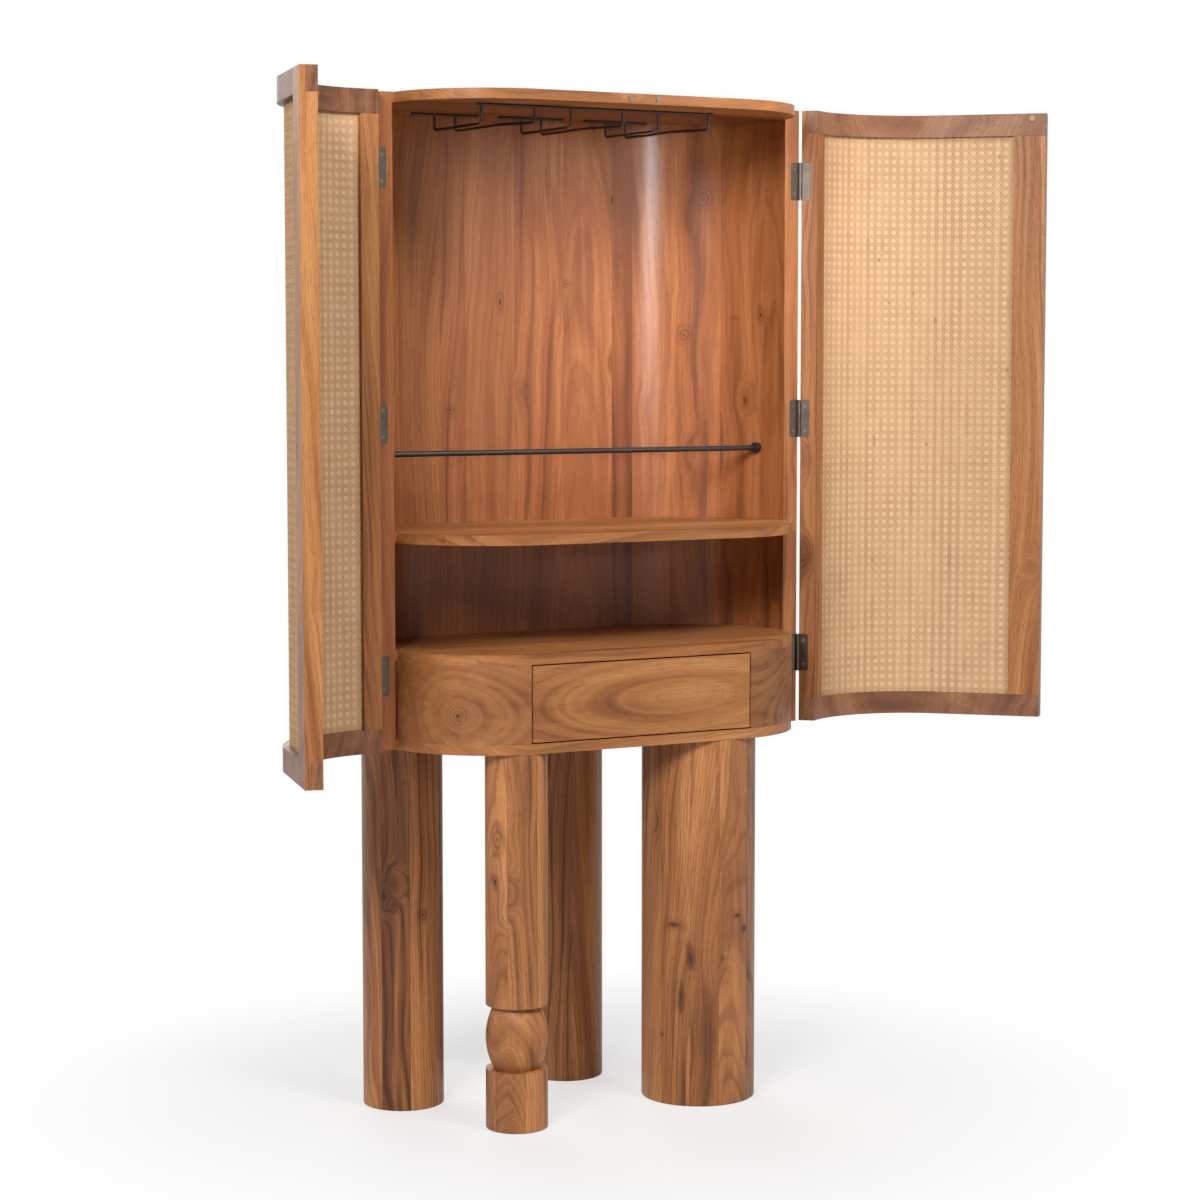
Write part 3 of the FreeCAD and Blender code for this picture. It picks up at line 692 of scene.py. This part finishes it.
@dataclass(frozen=True)
class CaneFinish:
    """Peeled cane, with fibres along the strand, darker strands, stains and painted shade along the slit
    between paired strands.

    Its patterns change by the cell of the weave, not by the metre.
    """

    name: str
    along: Place
    across: Place
    pale: Colour = (0.60, 0.36, 0.17)
    warm: Colour = (0.46, 0.24, 0.102)
    # Colour of the stains and dark strands, also used for the painted shade along the slit between paired
    # strands.
    stain_and_slit_shade: Colour = (0.24, 0.095, 0.033)
    streaks: float = 0.2
    # How strongly painted shade darkens the inner edges of paired strands, as if the slit between them were
    # in shade.
    slit_shade: float = 0.0
    fibre_rate: Place = (34.0, 1.1, 1.0)
    fibre_share: float = 0.5
    patch_rate: Place = (0.21, 0.19, 1.0)
    patch_share: float = 0.45
    chance_share: float = 0.22
    warm_step: Step = (0.38, 0.92)
    strand_jump: float = 7.3
    dark_rate: Place = (1.0, 0.13, 1.0)
    dark_step: Step = (0.735, 0.76)
    blot_rate: Place = (0.9, 0.55, 3.7)
    blot_step: Step = (0.735, 0.79)
    blot_depth: float = 0.6
    # Where the painted shade along the slit fades out, as a distance from the middle of the cell.
    slit_shade_step: Step = (0.06, 0.17)
    least_matt: float = 0.36
    matt_range: float = 0.25
    depth: float = 0.00008

    def make(self) -> Material:
        """Build the finish.

        Returns:
            The material.
        """
        recipe = Recipe(self.name)
        flat = recipe.add("ShaderNodeUVMap", {}, uv_map=FLAT_MAP).outputs[0]
        lane = recipe.vector("DOT_PRODUCT", flat, self.across, "Value")
        run = recipe.vector("DOT_PRODUCT", flat, self.along, "Value")
        number = recipe.math("ROUND", recipe.times(lane, 2.0))
        chance = recipe.add("ShaderNodeTexWhiteNoise", {"W": number}, noise_dimensions="1D").outputs["Value"]
        place = recipe.combine(lane, run, number)
        fibre = recipe.noise(place, self.fibre_rate, 3.0)
        patch = recipe.noise(flat, self.patch_rate, 3.0)
        strand = recipe.combine(recipe.times(number, self.strand_jump), run, 0.0)
        dark = recipe.noise(strand, self.dark_rate, 0.0)
        blot = recipe.smooth(recipe.noise(place, self.blot_rate, 1.0), *self.blot_step)
        warmth = recipe.plus(recipe.times(fibre, self.fibre_share), recipe.times(patch, self.patch_share))
        warmth = recipe.plus(warmth, recipe.times(chance, self.chance_share))
        colour = recipe.mix(recipe.smooth(warmth, *self.warm_step), self.pale, self.warm)
        colour = recipe.mix(recipe.smooth(dark, *self.dark_step, 0.0, self.streaks), colour, self.stain_and_slit_shade)
        colour = recipe.mix(recipe.times(blot, self.blot_depth), colour, self.stain_and_slit_shade)
        # Painted shade: the strands' inner edges next to the slit between a pair are darkened, as if the slit
        # were in shade.
        inner = recipe.math("ABSOLUTE", recipe.minus(recipe.math("FRACT", lane), MIDDLE))
        colour = recipe.mix(recipe.smooth(inner, *self.slit_shade_step, self.slit_shade, 0.0), colour, self.stain_and_slit_shade)
        recipe.show(colour, "Base Color")
        recipe.show(recipe.scaled(fibre, self.matt_range, self.least_matt), "Roughness")
        recipe.relief(fibre, self.depth)
        return recipe.material


@dataclass(frozen=True)
class BackingFinish:
    """The pale board behind the cane."""

    name: str
    pale: Colour = (0.645, 0.46, 0.295)
    warm: Colour = (0.58, 0.385, 0.23)
    fleck_rate: Place = (420.0, 420.0, 60.0)
    cloud_rate: Place = (7.0, 7.0, 4.0)
    share: float = 0.5
    warm_step: Step = (0.35, 0.70)
    matt_step: Step = (0.2, 0.8)
    matt: Step = (0.55, 0.75)
    depth: float = 0.0001

    def make(self) -> Material:
        """Build the finish.

        Returns:
            The material.
        """
        recipe = Recipe(self.name)
        point = recipe.place()
        fleck = recipe.noise(point, self.fleck_rate, 3.0)
        cloud = recipe.noise(point, self.cloud_rate, 2.0)
        warmth = recipe.plus(recipe.times(fleck, self.share), recipe.times(cloud, self.share))
        colour = recipe.mix(recipe.smooth(warmth, *self.warm_step), self.pale, self.warm)
        recipe.show(colour, "Base Color")
        recipe.show(recipe.smooth(fleck, *self.matt_step, *self.matt), "Roughness")
        recipe.relief(fleck, self.depth)
        return recipe.material


@dataclass(frozen=True)
class Lamp:
    """A soft lamp, its sides in metres, its power in watts and its beam's spread in degrees."""

    name: str
    place: Place
    target: Place
    sides: tuple[float, float]
    power: float
    spread: float = 180.0

    def hang(self) -> None:
        """Hang the lamp so that it faces its target."""
        aim = (Vector(self.target) - Vector(self.place)).to_track_quat("-Z", "Y").to_euler()
        bpy.ops.object.light_add(type="AREA", location=self.place, rotation=aim)
        lamp = bpy.context.active_object
        lamp.name = self.name
        lamp.data.shape = "RECTANGLE"
        lamp.data.size, lamp.data.size_y = self.sides
        lamp.data.energy = self.power
        lamp.data.spread = math.radians(self.spread)


@dataclass
class Studio:
    """The floor, the soft lamps, the white round them and the camera."""

    eye: Place = (-2.622177, -4.709063, 1.380075)
    pitch: float = -4.837
    heading: float = -29.307
    lens: float = 88.21
    sensor: float = 36.0
    floor_side: float = 40.0
    floor_colour: Colour = (0.71, 0.70, 0.695)
    floor_roughness: float = 0.75
    floor_gleam: float = 0.1
    shadow_reach: float = 0.40
    white_reach: float = 1.20
    least_white: float = 0.62
    ambient: float = 0.07

    def build(self) -> None:
        """Make everything that isn't the armoire."""
        self.make_camera()
        self.make_floor()
        self.make_world()
        middle = (0.0, 0.0, 1.0)
        Lamp("key_lamp", (-3.2, -3.0, 3.1), (0.0, -0.1, 1.0), sides=(1.3, 1.3), power=176.0).hang()
        Lamp("fill_lamp", (0.9, -3.6, 4.2), middle, sides=(1.4, 1.4), power=126.0).hang()
        Lamp(
            "strip_lamp", (0.95, -4.3, 1.9), (0.25, 0.2, 1.62), sides=(0.25, 0.8), power=0.9, spread=13.0
        ).hang()
        Lamp("top_lamp", (0.2, -1.2, 4.6), (0.0, 0.0, 0.6), sides=(2.0, 2.0), power=20.0).hang()
        Lamp("back_lamp", (0.8, 3.8, 3.2), middle, sides=(2.4, 2.4), power=90.0).hang()
        bpy.context.scene.view_settings.view_transform = "Standard"

    def make_camera(self) -> None:
        """Stand the camera where the photograph was taken."""
        angles = (math.radians(90.0 + self.pitch), 0.0, math.radians(self.heading))
        bpy.ops.object.camera_add(location=self.eye, rotation=angles)
        camera = bpy.context.active_object
        camera.name = "photograph_camera"
        camera.data.lens = self.lens
        camera.data.sensor_width = self.sensor
        camera.data.sensor_fit = "HORIZONTAL"
        bpy.context.scene.camera = camera

    def seen(self, tree: bpy.types.NodeTree) -> Socket:
        """Tell the rays that see the background from those that light.

        Args:
            tree: The node tree that asks.

        Returns:
            1 for a ray that sees it.
        """
        path = tree.nodes.new("ShaderNodeLightPath")
        result = path.outputs["Is Camera Ray"]
        for output in ("Is Glossy Ray", "Is Transmission Ray"):
            both = tree.nodes.new("ShaderNodeMath")
            both.operation = "MAXIMUM"
            tree.links.new(result, both.inputs[0])
            tree.links.new(path.outputs[output], both.inputs[1])
            result = both.outputs[0]
        return result

    def make_floor(self) -> None:
        """Lay a pale floor that keeps the shadow by the legs and fades to white."""
        bpy.ops.mesh.primitive_plane_add(size=self.floor_side)
        floor = bpy.context.active_object
        floor.name = "studio_floor"
        recipe = Recipe("studio_floor_white")
        recipe.shader.inputs["Base Color"].default_value = (*self.floor_colour, 1.0)
        recipe.shader.inputs["Roughness"].default_value = self.floor_roughness
        recipe.shader.inputs["Specular IOR Level"].default_value = self.floor_gleam
        x, y, _ = recipe.split(recipe.place())
        far = recipe.math("SQRT", recipe.plus(recipe.times(x, x), recipe.times(y, y)))
        fade = recipe.smooth(far, self.shadow_reach, self.white_reach, self.least_white, 1.0)
        fade = recipe.times(fade, self.seen(recipe.tree))
        white = recipe.add("ShaderNodeEmission", {"Color": WHITE, "Strength": 1.0})
        blend = recipe.add("ShaderNodeMixShader", {0: fade, 1: recipe.shader.outputs[0], 2: white.outputs[0]})
        recipe.tree.links.new(blend.outputs[0], recipe.tree.nodes["Material Output"].inputs["Surface"])
        floor.data.materials.append(recipe.material)

    def make_world(self) -> None:
        """Surround the studio with white that lights softly."""
        world = bpy.data.worlds.new("studio_white")
        world.use_nodes = True
        bpy.context.scene.world = world
        tree = world.node_tree
        back = tree.nodes["Background"]
        back.inputs["Color"].default_value = WHITE
        level = tree.nodes.new("ShaderNodeMapRange")
        tree.links.new(self.seen(tree), level.inputs["Value"])
        level.inputs["To Min"].default_value = self.ambient
        level.inputs["To Max"].default_value = 1.0
        tree.links.new(level.outputs[0], back.inputs["Strength"])


@dataclass
class Carcass:
    """The cabinet's fixed boards, legs and fittings."""

    leg_turn: float = 29.3

    def finish_list(self) -> dict[str, WoodFinish]:
        """Choose the wood of each piece.

        Returns:
            The finish of each node.
        """
        back_knots = (
            Knot((0.061, 0.202, 1.507), 0.012, 0.005, 1.3),
            Knot((-0.080, 0.202, 1.472), 0.014, 0.006, 2.2),
            Knot((-0.185, 0.202, 1.271), 0.016, 0.006, 1.2),
            Knot((0.161, 0.202, 1.667), 0.011, 0.006, 3.5),
        )
        shell_knots = (
            Knot((0.306, 0.176, 1.411), 0.024, 0.007, 1.2, 0.5),
            Knot((0.335, 0.155, 1.671), 0.026, 0.008, 1.2, 0.25),
            Knot((0.4015, 0.051, 1.449), 0.018, 0.006, 1.5),
            Knot((0.378, 0.106, 1.444), 0.014, 0.006, 0.6),
        )
        right_marks = (
            Knot((0.092, -0.153, 0.336), 0.040, 0.030, 0.42),
            Knot((0.112, -0.174, 0.277), 0.022, 0.020, 3.4),
            Knot((0.100, -0.163, 0.205), 0.020, 0.018, 4.0, 0.8),
            Knot((0.199, -0.196, 0.351), 0.030, 0.020, 0.6),
            Knot((0.218, -0.190, 0.324), 0.026, 0.018, 1.0),
            Knot((0.079, -0.129, 0.128), 0.008, 0.006, 1.5),
        )
        left_marks = (
            Knot((-0.3565, 0.050, 0.604), 0.010, 0.006),
            Knot((-0.3225, 0.044, 0.360), 0.018, 0.007),
            Knot((-0.375, 0.061, 0.381), 0.022, 0.008, 1.5, 0.3),
        )
        post_marks = (
            Knot((-0.280, -0.160, 0.449), 0.014, 0.006, 1.6),
            Knot((-0.278, -0.164, 0.525), 0.022, 0.007, 1.8, 0.3),
        )
        upright = {"tone": CHESTNUT, "stave_width": 0.105, "ring": 0.03, "roughness": 0.31}
        level = {"tone": HONEY, "grain": Grain.ACROSS, "staves": Staves.DEEP, "stave_width": 0.13}
        level.update({"patchwork": 0.12, "ring": 0.024})
        leg = {"tone": TRUNK, "turn": self.leg_turn, "staves": Staves.ACROSS, "stave_width": 0.052}
        leg.update({"contrast": 1.0, "knots": 0.3})
        return {
            "back_panel": WoodFinish(staves=Staves.ACROSS, seed=3.1, marks=back_knots, **upright),
            "left_side_shell": WoodFinish(staves=Staves.LEFT_END, seed=5.4, **upright),
            "right_side_shell": WoodFinish(staves=Staves.RIGHT_END, seed=8.2, marks=shell_knots, **upright),
            "top_panel": WoodFinish(seed=1.3, **level),
            "shelf": WoodFinish(seed=4.6, **level),
            "drawer_deck": WoodFinish(seed=7.9, **level),
            "bottom_panel": WoodFinish(seed=2.2, **level),
            "left_fascia": WoodFinish(
                RUSSET,
                grain=Grain.ACROSS,
                figure=Figure.FLAME,
                heart=(0.7455, -0.1427, -0.3432),
                ring=0.014,
                stretch=0.45,
                sway=0.045,
                contrast=0.3,
                knots=0.15,
                marks=(Knot((-0.3432, -0.1427, 0.7455), 0.028, 0.0065),),
            ),
            "right_fascia": WoodFinish(RUSSET, grain=Grain.ACROSS, heart=(0.71, -0.1, 0.2), knots=0.3),
            "left_leg": WoodFinish(seed=5.9, marks=left_marks, **leg),
            "right_leg": WoodFinish(seed=6.1, marks=right_marks, **leg),
            "back_leg": WoodFinish(seed=9.3, **leg),
            "front_leg_post": WoodFinish(seed=4.4, marks=post_marks, **leg),
            "front_leg_ball": WoodFinish(TRUNK, turn=self.leg_turn, tilt=0.5, sway=0.03),
            "front_leg_foot": WoodFinish(seed=1.8, **leg),
            "front_leg_dowel": WoodFinish(PLAIN, seed=3.3),
        }

    def dress(self, nodes: dict[str, Piece]) -> None:
        """Give the fixed pieces their finishes.

        Args:
            nodes: The solids by name.
        """
        for name, finish in self.finish_list().items():
            put_on(nodes[name], finish.make(name))
        case = WoodFinish(PLAIN, grain=Grain.INWARD).make("drawer_case")
        for side in ("left", "right"):
            put_on(nodes[f"{side}_drawer_cheek"], case)
            put_on(nodes[f"{side}_drawer_runner"], case)
        coat, worn_coat = (0.012, 0.0115, 0.012), (0.022, 0.021, 0.021)
        black = MetalFinish("black_powder_coat", coat, worn_coat, 0.38, metallic=0.0).make()
        for name in ("bottle_rail", "bottle_rail_bosses", "rack_front_bar", "rack_rear_bars", "rack_rails"):
            put_on(nodes[name], black)
        brass = MetalFinish("catch_brass", (0.25, 0.18, 0.11), (0.16, 0.11, 0.07), 0.45).make()
        for name in ("catch_sleeves", "left_catch_plunger", "right_catch_plunger"):
            put_on(nodes[name], brass)
        zinc = MetalFinish("bolt_zinc", (0.56, 0.57, 0.58), (0.42, 0.43, 0.44), 0.36).make()
        put_on(nodes["leg_bolts"], zinc)


@dataclass
class Drawer:
    """The drawer between the two curved fronts."""

    def dress(self, nodes: dict[str, Piece]) -> None:
        """Give the drawer's boards their finishes.

        Args:
            nodes: The solids by name.
        """
        front = WoodFinish(
            HONEY,
            grain=Grain.ACROSS,
            figure=Figure.FLAME,
            heart=(0.763, -0.2, 0.07),
            ring=0.0145,
            stretch=0.24,
            sway=0.025,
            contrast=0.5,
            knots=0.12,
        )
        put_on(nodes["drawer_front"], front.make("drawer_front"))
        side = WoodFinish(PLAIN, grain=Grain.INWARD).make("drawer_side")
        back = WoodFinish(PLAIN, grain=Grain.ACROSS).make("drawer_back")
        for name in ("drawer_left_side", "drawer_right_side"):
            put_on(nodes[name], side)
        for name in ("drawer_back", "drawer_base"):
            put_on(nodes[name], back)


@dataclass
class CaneWeave:
    """One face of a door's woven cane, made as one cell of strands that repeats."""

    columns: int = 27
    rows: int = 71
    strand: float = 0.0024
    slant: float = 0.0024
    crown: float = 0.0008
    gap: float = 0.12
    lift: float = 0.0004
    dip: float = 0.3
    hump: float = 2.0

    def make_strand(self, start: Vector, end: Vector, width: float, kind: Strand) -> Piece:
        """Make a straight length of strand with a flat back and a crowned face.

        Args:
            start: Middle of its back at one end.
            end: Middle of its back at the other end.
            width: Its width.
            kind: The way it runs.

        Returns:
            The length of strand.
        """
        bpy.ops.mesh.primitive_cylinder_add(vertices=3, radius=1.0, depth=2.0, end_fill_type="NOTHING")
        rod = bpy.context.active_object
        run = end - start
        side = Vector((run.y, -run.x, 0.0)).normalized()
        # The section is a triangle round its middle, so its foot lies half a radius below.
        half_foot = math.sin(math.radians(120.0))
        below = 0.5
        for vertex in rod.data.vertices:
            base = start if vertex.co.z < 0.0 else end
            reach = vertex.co.x / half_foot * width / 2.0
            height = (vertex.co.y + below) / (1.0 + below) * self.crown
            vertex.co = base + side * reach + Vector((0.0, 0.0, height))
        for face in rod.data.polygons:
            face.material_index = kind.value
        return rod

    def make_cell(self, wide: float, tall: float, finishes: list[Material]) -> Piece:
        """Make the strands of one cell and join them.

        Args:
            wide: The cell's width.
            tall: The cell's height.
            finishes: The cane of upright, level and slanting strands.

        Returns:
            The cell.
        """
        low, high = self.lift * self.dip, self.lift * self.hump
        pieces: list[Piece] = []

        def lay(points: list[Place], width: float, kind: Strand) -> None:
            """Lay a strand.

            Args:
                points: Where it goes, in shares of the cell, and how high.
                width: Its width.
                kind: The way it runs.
            """
            places = [Vector((u * wide, v * tall, h)) for u, v, h in points]
            for start, end in zip(places, places[1:]):
                pieces.append(self.make_strand(start, end, width, kind))

        near, far = MIDDLE - self.gap, MIDDLE + self.gap
        lay([(0.0, near, low), (1.0, near, low)], self.strand, Strand.LEVEL)
        lay([(0.0, far, low), (MIDDLE, far, high), (1.0, far, low)], self.strand, Strand.LEVEL)
        for column in (near, far):
            path = [(column, 0.0, low), (column, MIDDLE, self.lift), (column, 1.0, low)]
            lay(path, self.strand, Strand.UPRIGHT)
        lay([(0.0, MIDDLE, high), (MIDDLE, 0.0, low)], self.slant, Strand.SLANTING)
        lay([(MIDDLE, 1.0, low), (1.0, MIDDLE, high)], self.slant, Strand.SLANTING)
        lay([(0.0, MIDDLE, low), (MIDDLE, 1.0, high)], self.slant, Strand.SLANTING)
        lay([(MIDDLE, 0.0, high), (1.0, MIDDLE, low)], self.slant, Strand.SLANTING)
        bpy.ops.object.select_all(action="DESELECT")
        for piece in pieces:
            piece.select_set(True)
        bpy.context.view_layer.objects.active = pieces[0]
        bpy.ops.object.join()
        cell = bpy.context.active_object
        for finish in finishes:
            cell.data.materials.append(finish)
        weld(cell)
        return cell

    def make_mat(self, name: str, wide: float, tall: float, finishes: list[Material]) -> Piece:
        """Repeat the cell over the whole panel.

        Args:
            name: The piece's name.
            wide: The panel's width along its curve.
            tall: The panel's height.
            finishes: The cane of upright, level and slanting strands.

        Returns:
            The flat mat, with its flat places kept as a UV map in cells.
        """
        cell_wide = wide / self.columns
        cell_tall = tall / self.rows
        mat = self.make_cell(cell_wide, cell_tall, finishes)
        mat.name = name
        mat.data.name = name
        for step, count in (((cell_wide, 0.0, 0.0), self.columns), ((0.0, cell_tall, 0.0), self.rows)):
            repeat = mat.modifiers.new("repeat", "ARRAY")
            repeat.count = count
            repeat.use_relative_offset = False
            repeat.use_constant_offset = True
            repeat.constant_offset_displace = step
            repeat.use_merge_vertices = True
            repeat.merge_threshold = MERGE_REACH
            bpy.ops.object.modifier_apply(modifier=repeat.name)
        layer = mat.data.uv_layers.new(name=FLAT_MAP)
        points = np.zeros(len(mat.data.vertices) * 3, np.float32)
        mat.data.vertices.foreach_get("co", points)
        flat = points.reshape(-1, 3)[:, :2] / np.array([cell_wide, cell_tall], np.float32)
        corners = np.zeros(len(mat.data.loops), np.int32)
        mat.data.loops.foreach_get("vertex_index", corners)
        layer.data.foreach_set("uv", flat[corners].astype(np.float32).ravel())
        return mat


@dataclass
class Door:
    """A curved door: its frame, its hinges and the cane on both faces."""

    side: str
    sign: int
    turn: float
    half_flat: float = 0.206
    stile_end: float = 0.0615
    middle_radius: float = 0.217
    stile_turn: float = 17.18
    chord_turn: float = 25.2
    pin_x: float = 0.439149
    pin_y: float = -0.025
    outer_face: float = 0.2191
    inner_face: float = 0.2099
    weave: CaneWeave = field(default_factory=CaneWeave)

    def on_plan(self, along: np.ndarray, radius: np.ndarray) -> tuple[np.ndarray, np.ndarray]:
        """Follow the closed door's plan from its meeting stile, then swing it open.

        Args:
            along: Distances along the curve.
            radius: Distances from the end's middle.

        Returns:
            The places in plan.
        """
        straight = self.half_flat - self.stile_end
        angle = np.maximum(along - straight, 0.0) / self.middle_radius
        x = self.stile_end + np.minimum(along, straight) + radius * np.sin(angle)
        y = -radius * np.cos(angle)
        x = x * self.sign - self.pin_x * self.sign
        y = y - self.pin_y
        cosine, sine = math.cos(math.radians(self.turn)), math.sin(math.radians(self.turn))
        return x * cosine - y * sine + self.pin_x * self.sign, x * sine + y * cosine + self.pin_y

    def make_cane(self, face: str, radius: float, outward: int, finishes: list[Material]) -> None:
        """Weave one face of the door and lay it on its board.

        Args:
            face: Which face it is.
            radius: Where the board's face is.
            outward: 1 where the face looks outwards, -1 where it looks in.
            finishes: The cane of upright, level and slanting strands.
        """
        node = f"{self.side}_door_{face}_cane"
        low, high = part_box(node)
        arc = math.radians(90.0 - self.stile_turn) * self.middle_radius
        wide = self.half_flat - self.stile_end + arc
        piece = self.weave.make_mat(f"{self.side}_door_{face}_weave", wide, high.z - low.z, finishes)
        points = np.zeros(len(piece.data.vertices) * 3, np.float32)
        piece.data.vertices.foreach_get("co", points)
        flat = points.reshape(-1, 3)
        x, y = self.on_plan(flat[:, 0], radius + outward * flat[:, 2])
        placed = np.stack([x, y, flat[:, 1] + low.z], axis=1).astype(np.float32)
        piece.data.vertices.foreach_set("co", placed.ravel())
        piece.data.update()
        close_and_turn_out(piece)
        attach(piece, f"{self.side}_door")
        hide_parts(node)
        LOG.info("%s: %d faces", piece.name, len(piece.data.polygons))

    def dress(self, nodes: dict[str, Piece], cane: list[Material]) -> None:
        """Finish the door's frame and fittings and weave its cane.

        Args:
            nodes: The solids by name.
            cane: The cane of upright, level and slanting strands.
        """
        name = self.side
        stile = {"tone": HONEY, "turn": -self.turn, "ring": 0.012, "knots": 0.3}
        chord = -self.turn - self.sign * self.chord_turn
        rail = {"tone": WALNUT, "turn": chord, "grain": Grain.ACROSS, "ring": 0.014, "knots": 0.05}
        finishes = {
            f"{name}_door_hinge_stile": WoodFinish(seed=1.0, **stile),
            f"{name}_door_meeting_stile": WoodFinish(heart=(0.4, 0.5, 0.0), **stile),
            f"{name}_door_top_rail": WoodFinish(heart=(1.77, 0.2, 0.0), **rail),
            f"{name}_door_bottom_rail": WoodFinish(heart=(0.66, 0.2, 0.3), **rail),
        }
        for part, finish in finishes.items():
            put_on(nodes[part], finish.make(part))
        put_on(nodes[f"{name}_door_core"], BackingFinish(f"{name}_cane_backing").make())
        steel = MetalFinish(f"{name}_hinge_steel", (0.105, 0.087, 0.074), (0.06, 0.049, 0.041), 0.34).make()
        for part in ("hinge_cabinet_leaves", "hinge_pins", "hinge_door_leaves"):
            put_on(nodes[f"{name}_{part}"], steel)
        screw = MetalFinish(f"{name}_screw_steel", (0.20, 0.13, 0.075), (0.12, 0.08, 0.05), 0.5).make()
        for part in ("hinge_cabinet_screws", "hinge_door_screws", "door_strike"):
            put_on(nodes[f"{name}_{part}"], screw)
        self.make_cane("outer", self.outer_face, 1, cane)
        self.make_cane("inner", self.inner_face, -1, cane)


def put_on(node: Piece, material: Material) -> None:
    """Put a finish on every slot of a solid.

    Args:
        node: The solid.
        material: The finish.
    """
    for slot in node.material_slots:
        slot.material = material
    LOG.info("%s: %s", node.name, material.name)


def weld(piece: Piece) -> None:
    """Merge the points of a piece that lie together.

    Args:
        piece: The piece.
    """
    bpy.context.view_layer.objects.active = piece
    bpy.ops.object.mode_set(mode="EDIT")
    bpy.ops.mesh.select_all(action="SELECT")
    bpy.ops.mesh.remove_doubles(threshold=MERGE_REACH)
    bpy.ops.object.mode_set(mode="OBJECT")


def close_and_turn_out(piece: Piece) -> None:
    """Close the ends of a piece's strands, turn its faces outwards and smooth its crowns.

    Args:
        piece: The piece.
    """
    bpy.context.view_layer.objects.active = piece
    bpy.ops.object.mode_set(mode="EDIT")
    bpy.ops.mesh.select_all(action="SELECT")
    bpy.ops.mesh.fill_holes(sides=END_SIDES)
    bpy.ops.mesh.select_all(action="SELECT")
    bpy.ops.mesh.normals_make_consistent(inside=False)
    bpy.ops.object.mode_set(mode="OBJECT")
    bpy.ops.object.select_all(action="DESELECT")
    piece.select_set(True)
    bpy.ops.object.shade_smooth_by_angle(angle=math.radians(CROWN_ANGLE))


def make_cane_finishes() -> list[Material]:
    """Make the cane of the strands, in the order of their kinds.

    Returns:
        The cane of upright, level and slanting strands.
    """
    right, up = (1.0, 0.0, 0.0), (0.0, 1.0, 0.0)
    # Upright and level strands get painted shade on their inner edges along the slit between each pair, the
    # level ones at full strength.
    upright = CaneFinish("upright_cane", along=up, across=right, slit_shade=0.12)
    level_pale, level_warm = (0.49, 0.262, 0.105), (0.37, 0.178, 0.064)
    level = CaneFinish("level_cane", along=right, across=up, pale=level_pale, warm=level_warm, slit_shade=1.0)
    rising, falling = (0.5, 0.5, 0.0), (0.5, -0.5, 0.0)
    slanting_pale = (0.63, 0.385, 0.19)
    slanting = CaneFinish("slanting_cane", along=rising, across=falling, pale=slanting_pale, streaks=0.75)
    return [finish.make() for finish in (upright, level, slanting)]


def main() -> None:
    """Load the solids, dress them and set up the studio."""
    logging.basicConfig(level=logging.INFO, format="%(name)s %(message)s")
    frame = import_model()
    bpy.ops.object.select_all(action="DESELECT")
    nodes = frame["nodes"]
    Studio().build()
    Carcass().dress(nodes)
    Drawer().dress(nodes)
    cane = make_cane_finishes()
    Door(side="left", sign=-1, turn=-104.0).dress(nodes, cane)
    Door(side="right", sign=1, turn=135.0).dress(nodes, cane)


if __name__ == "__main__":
    main()
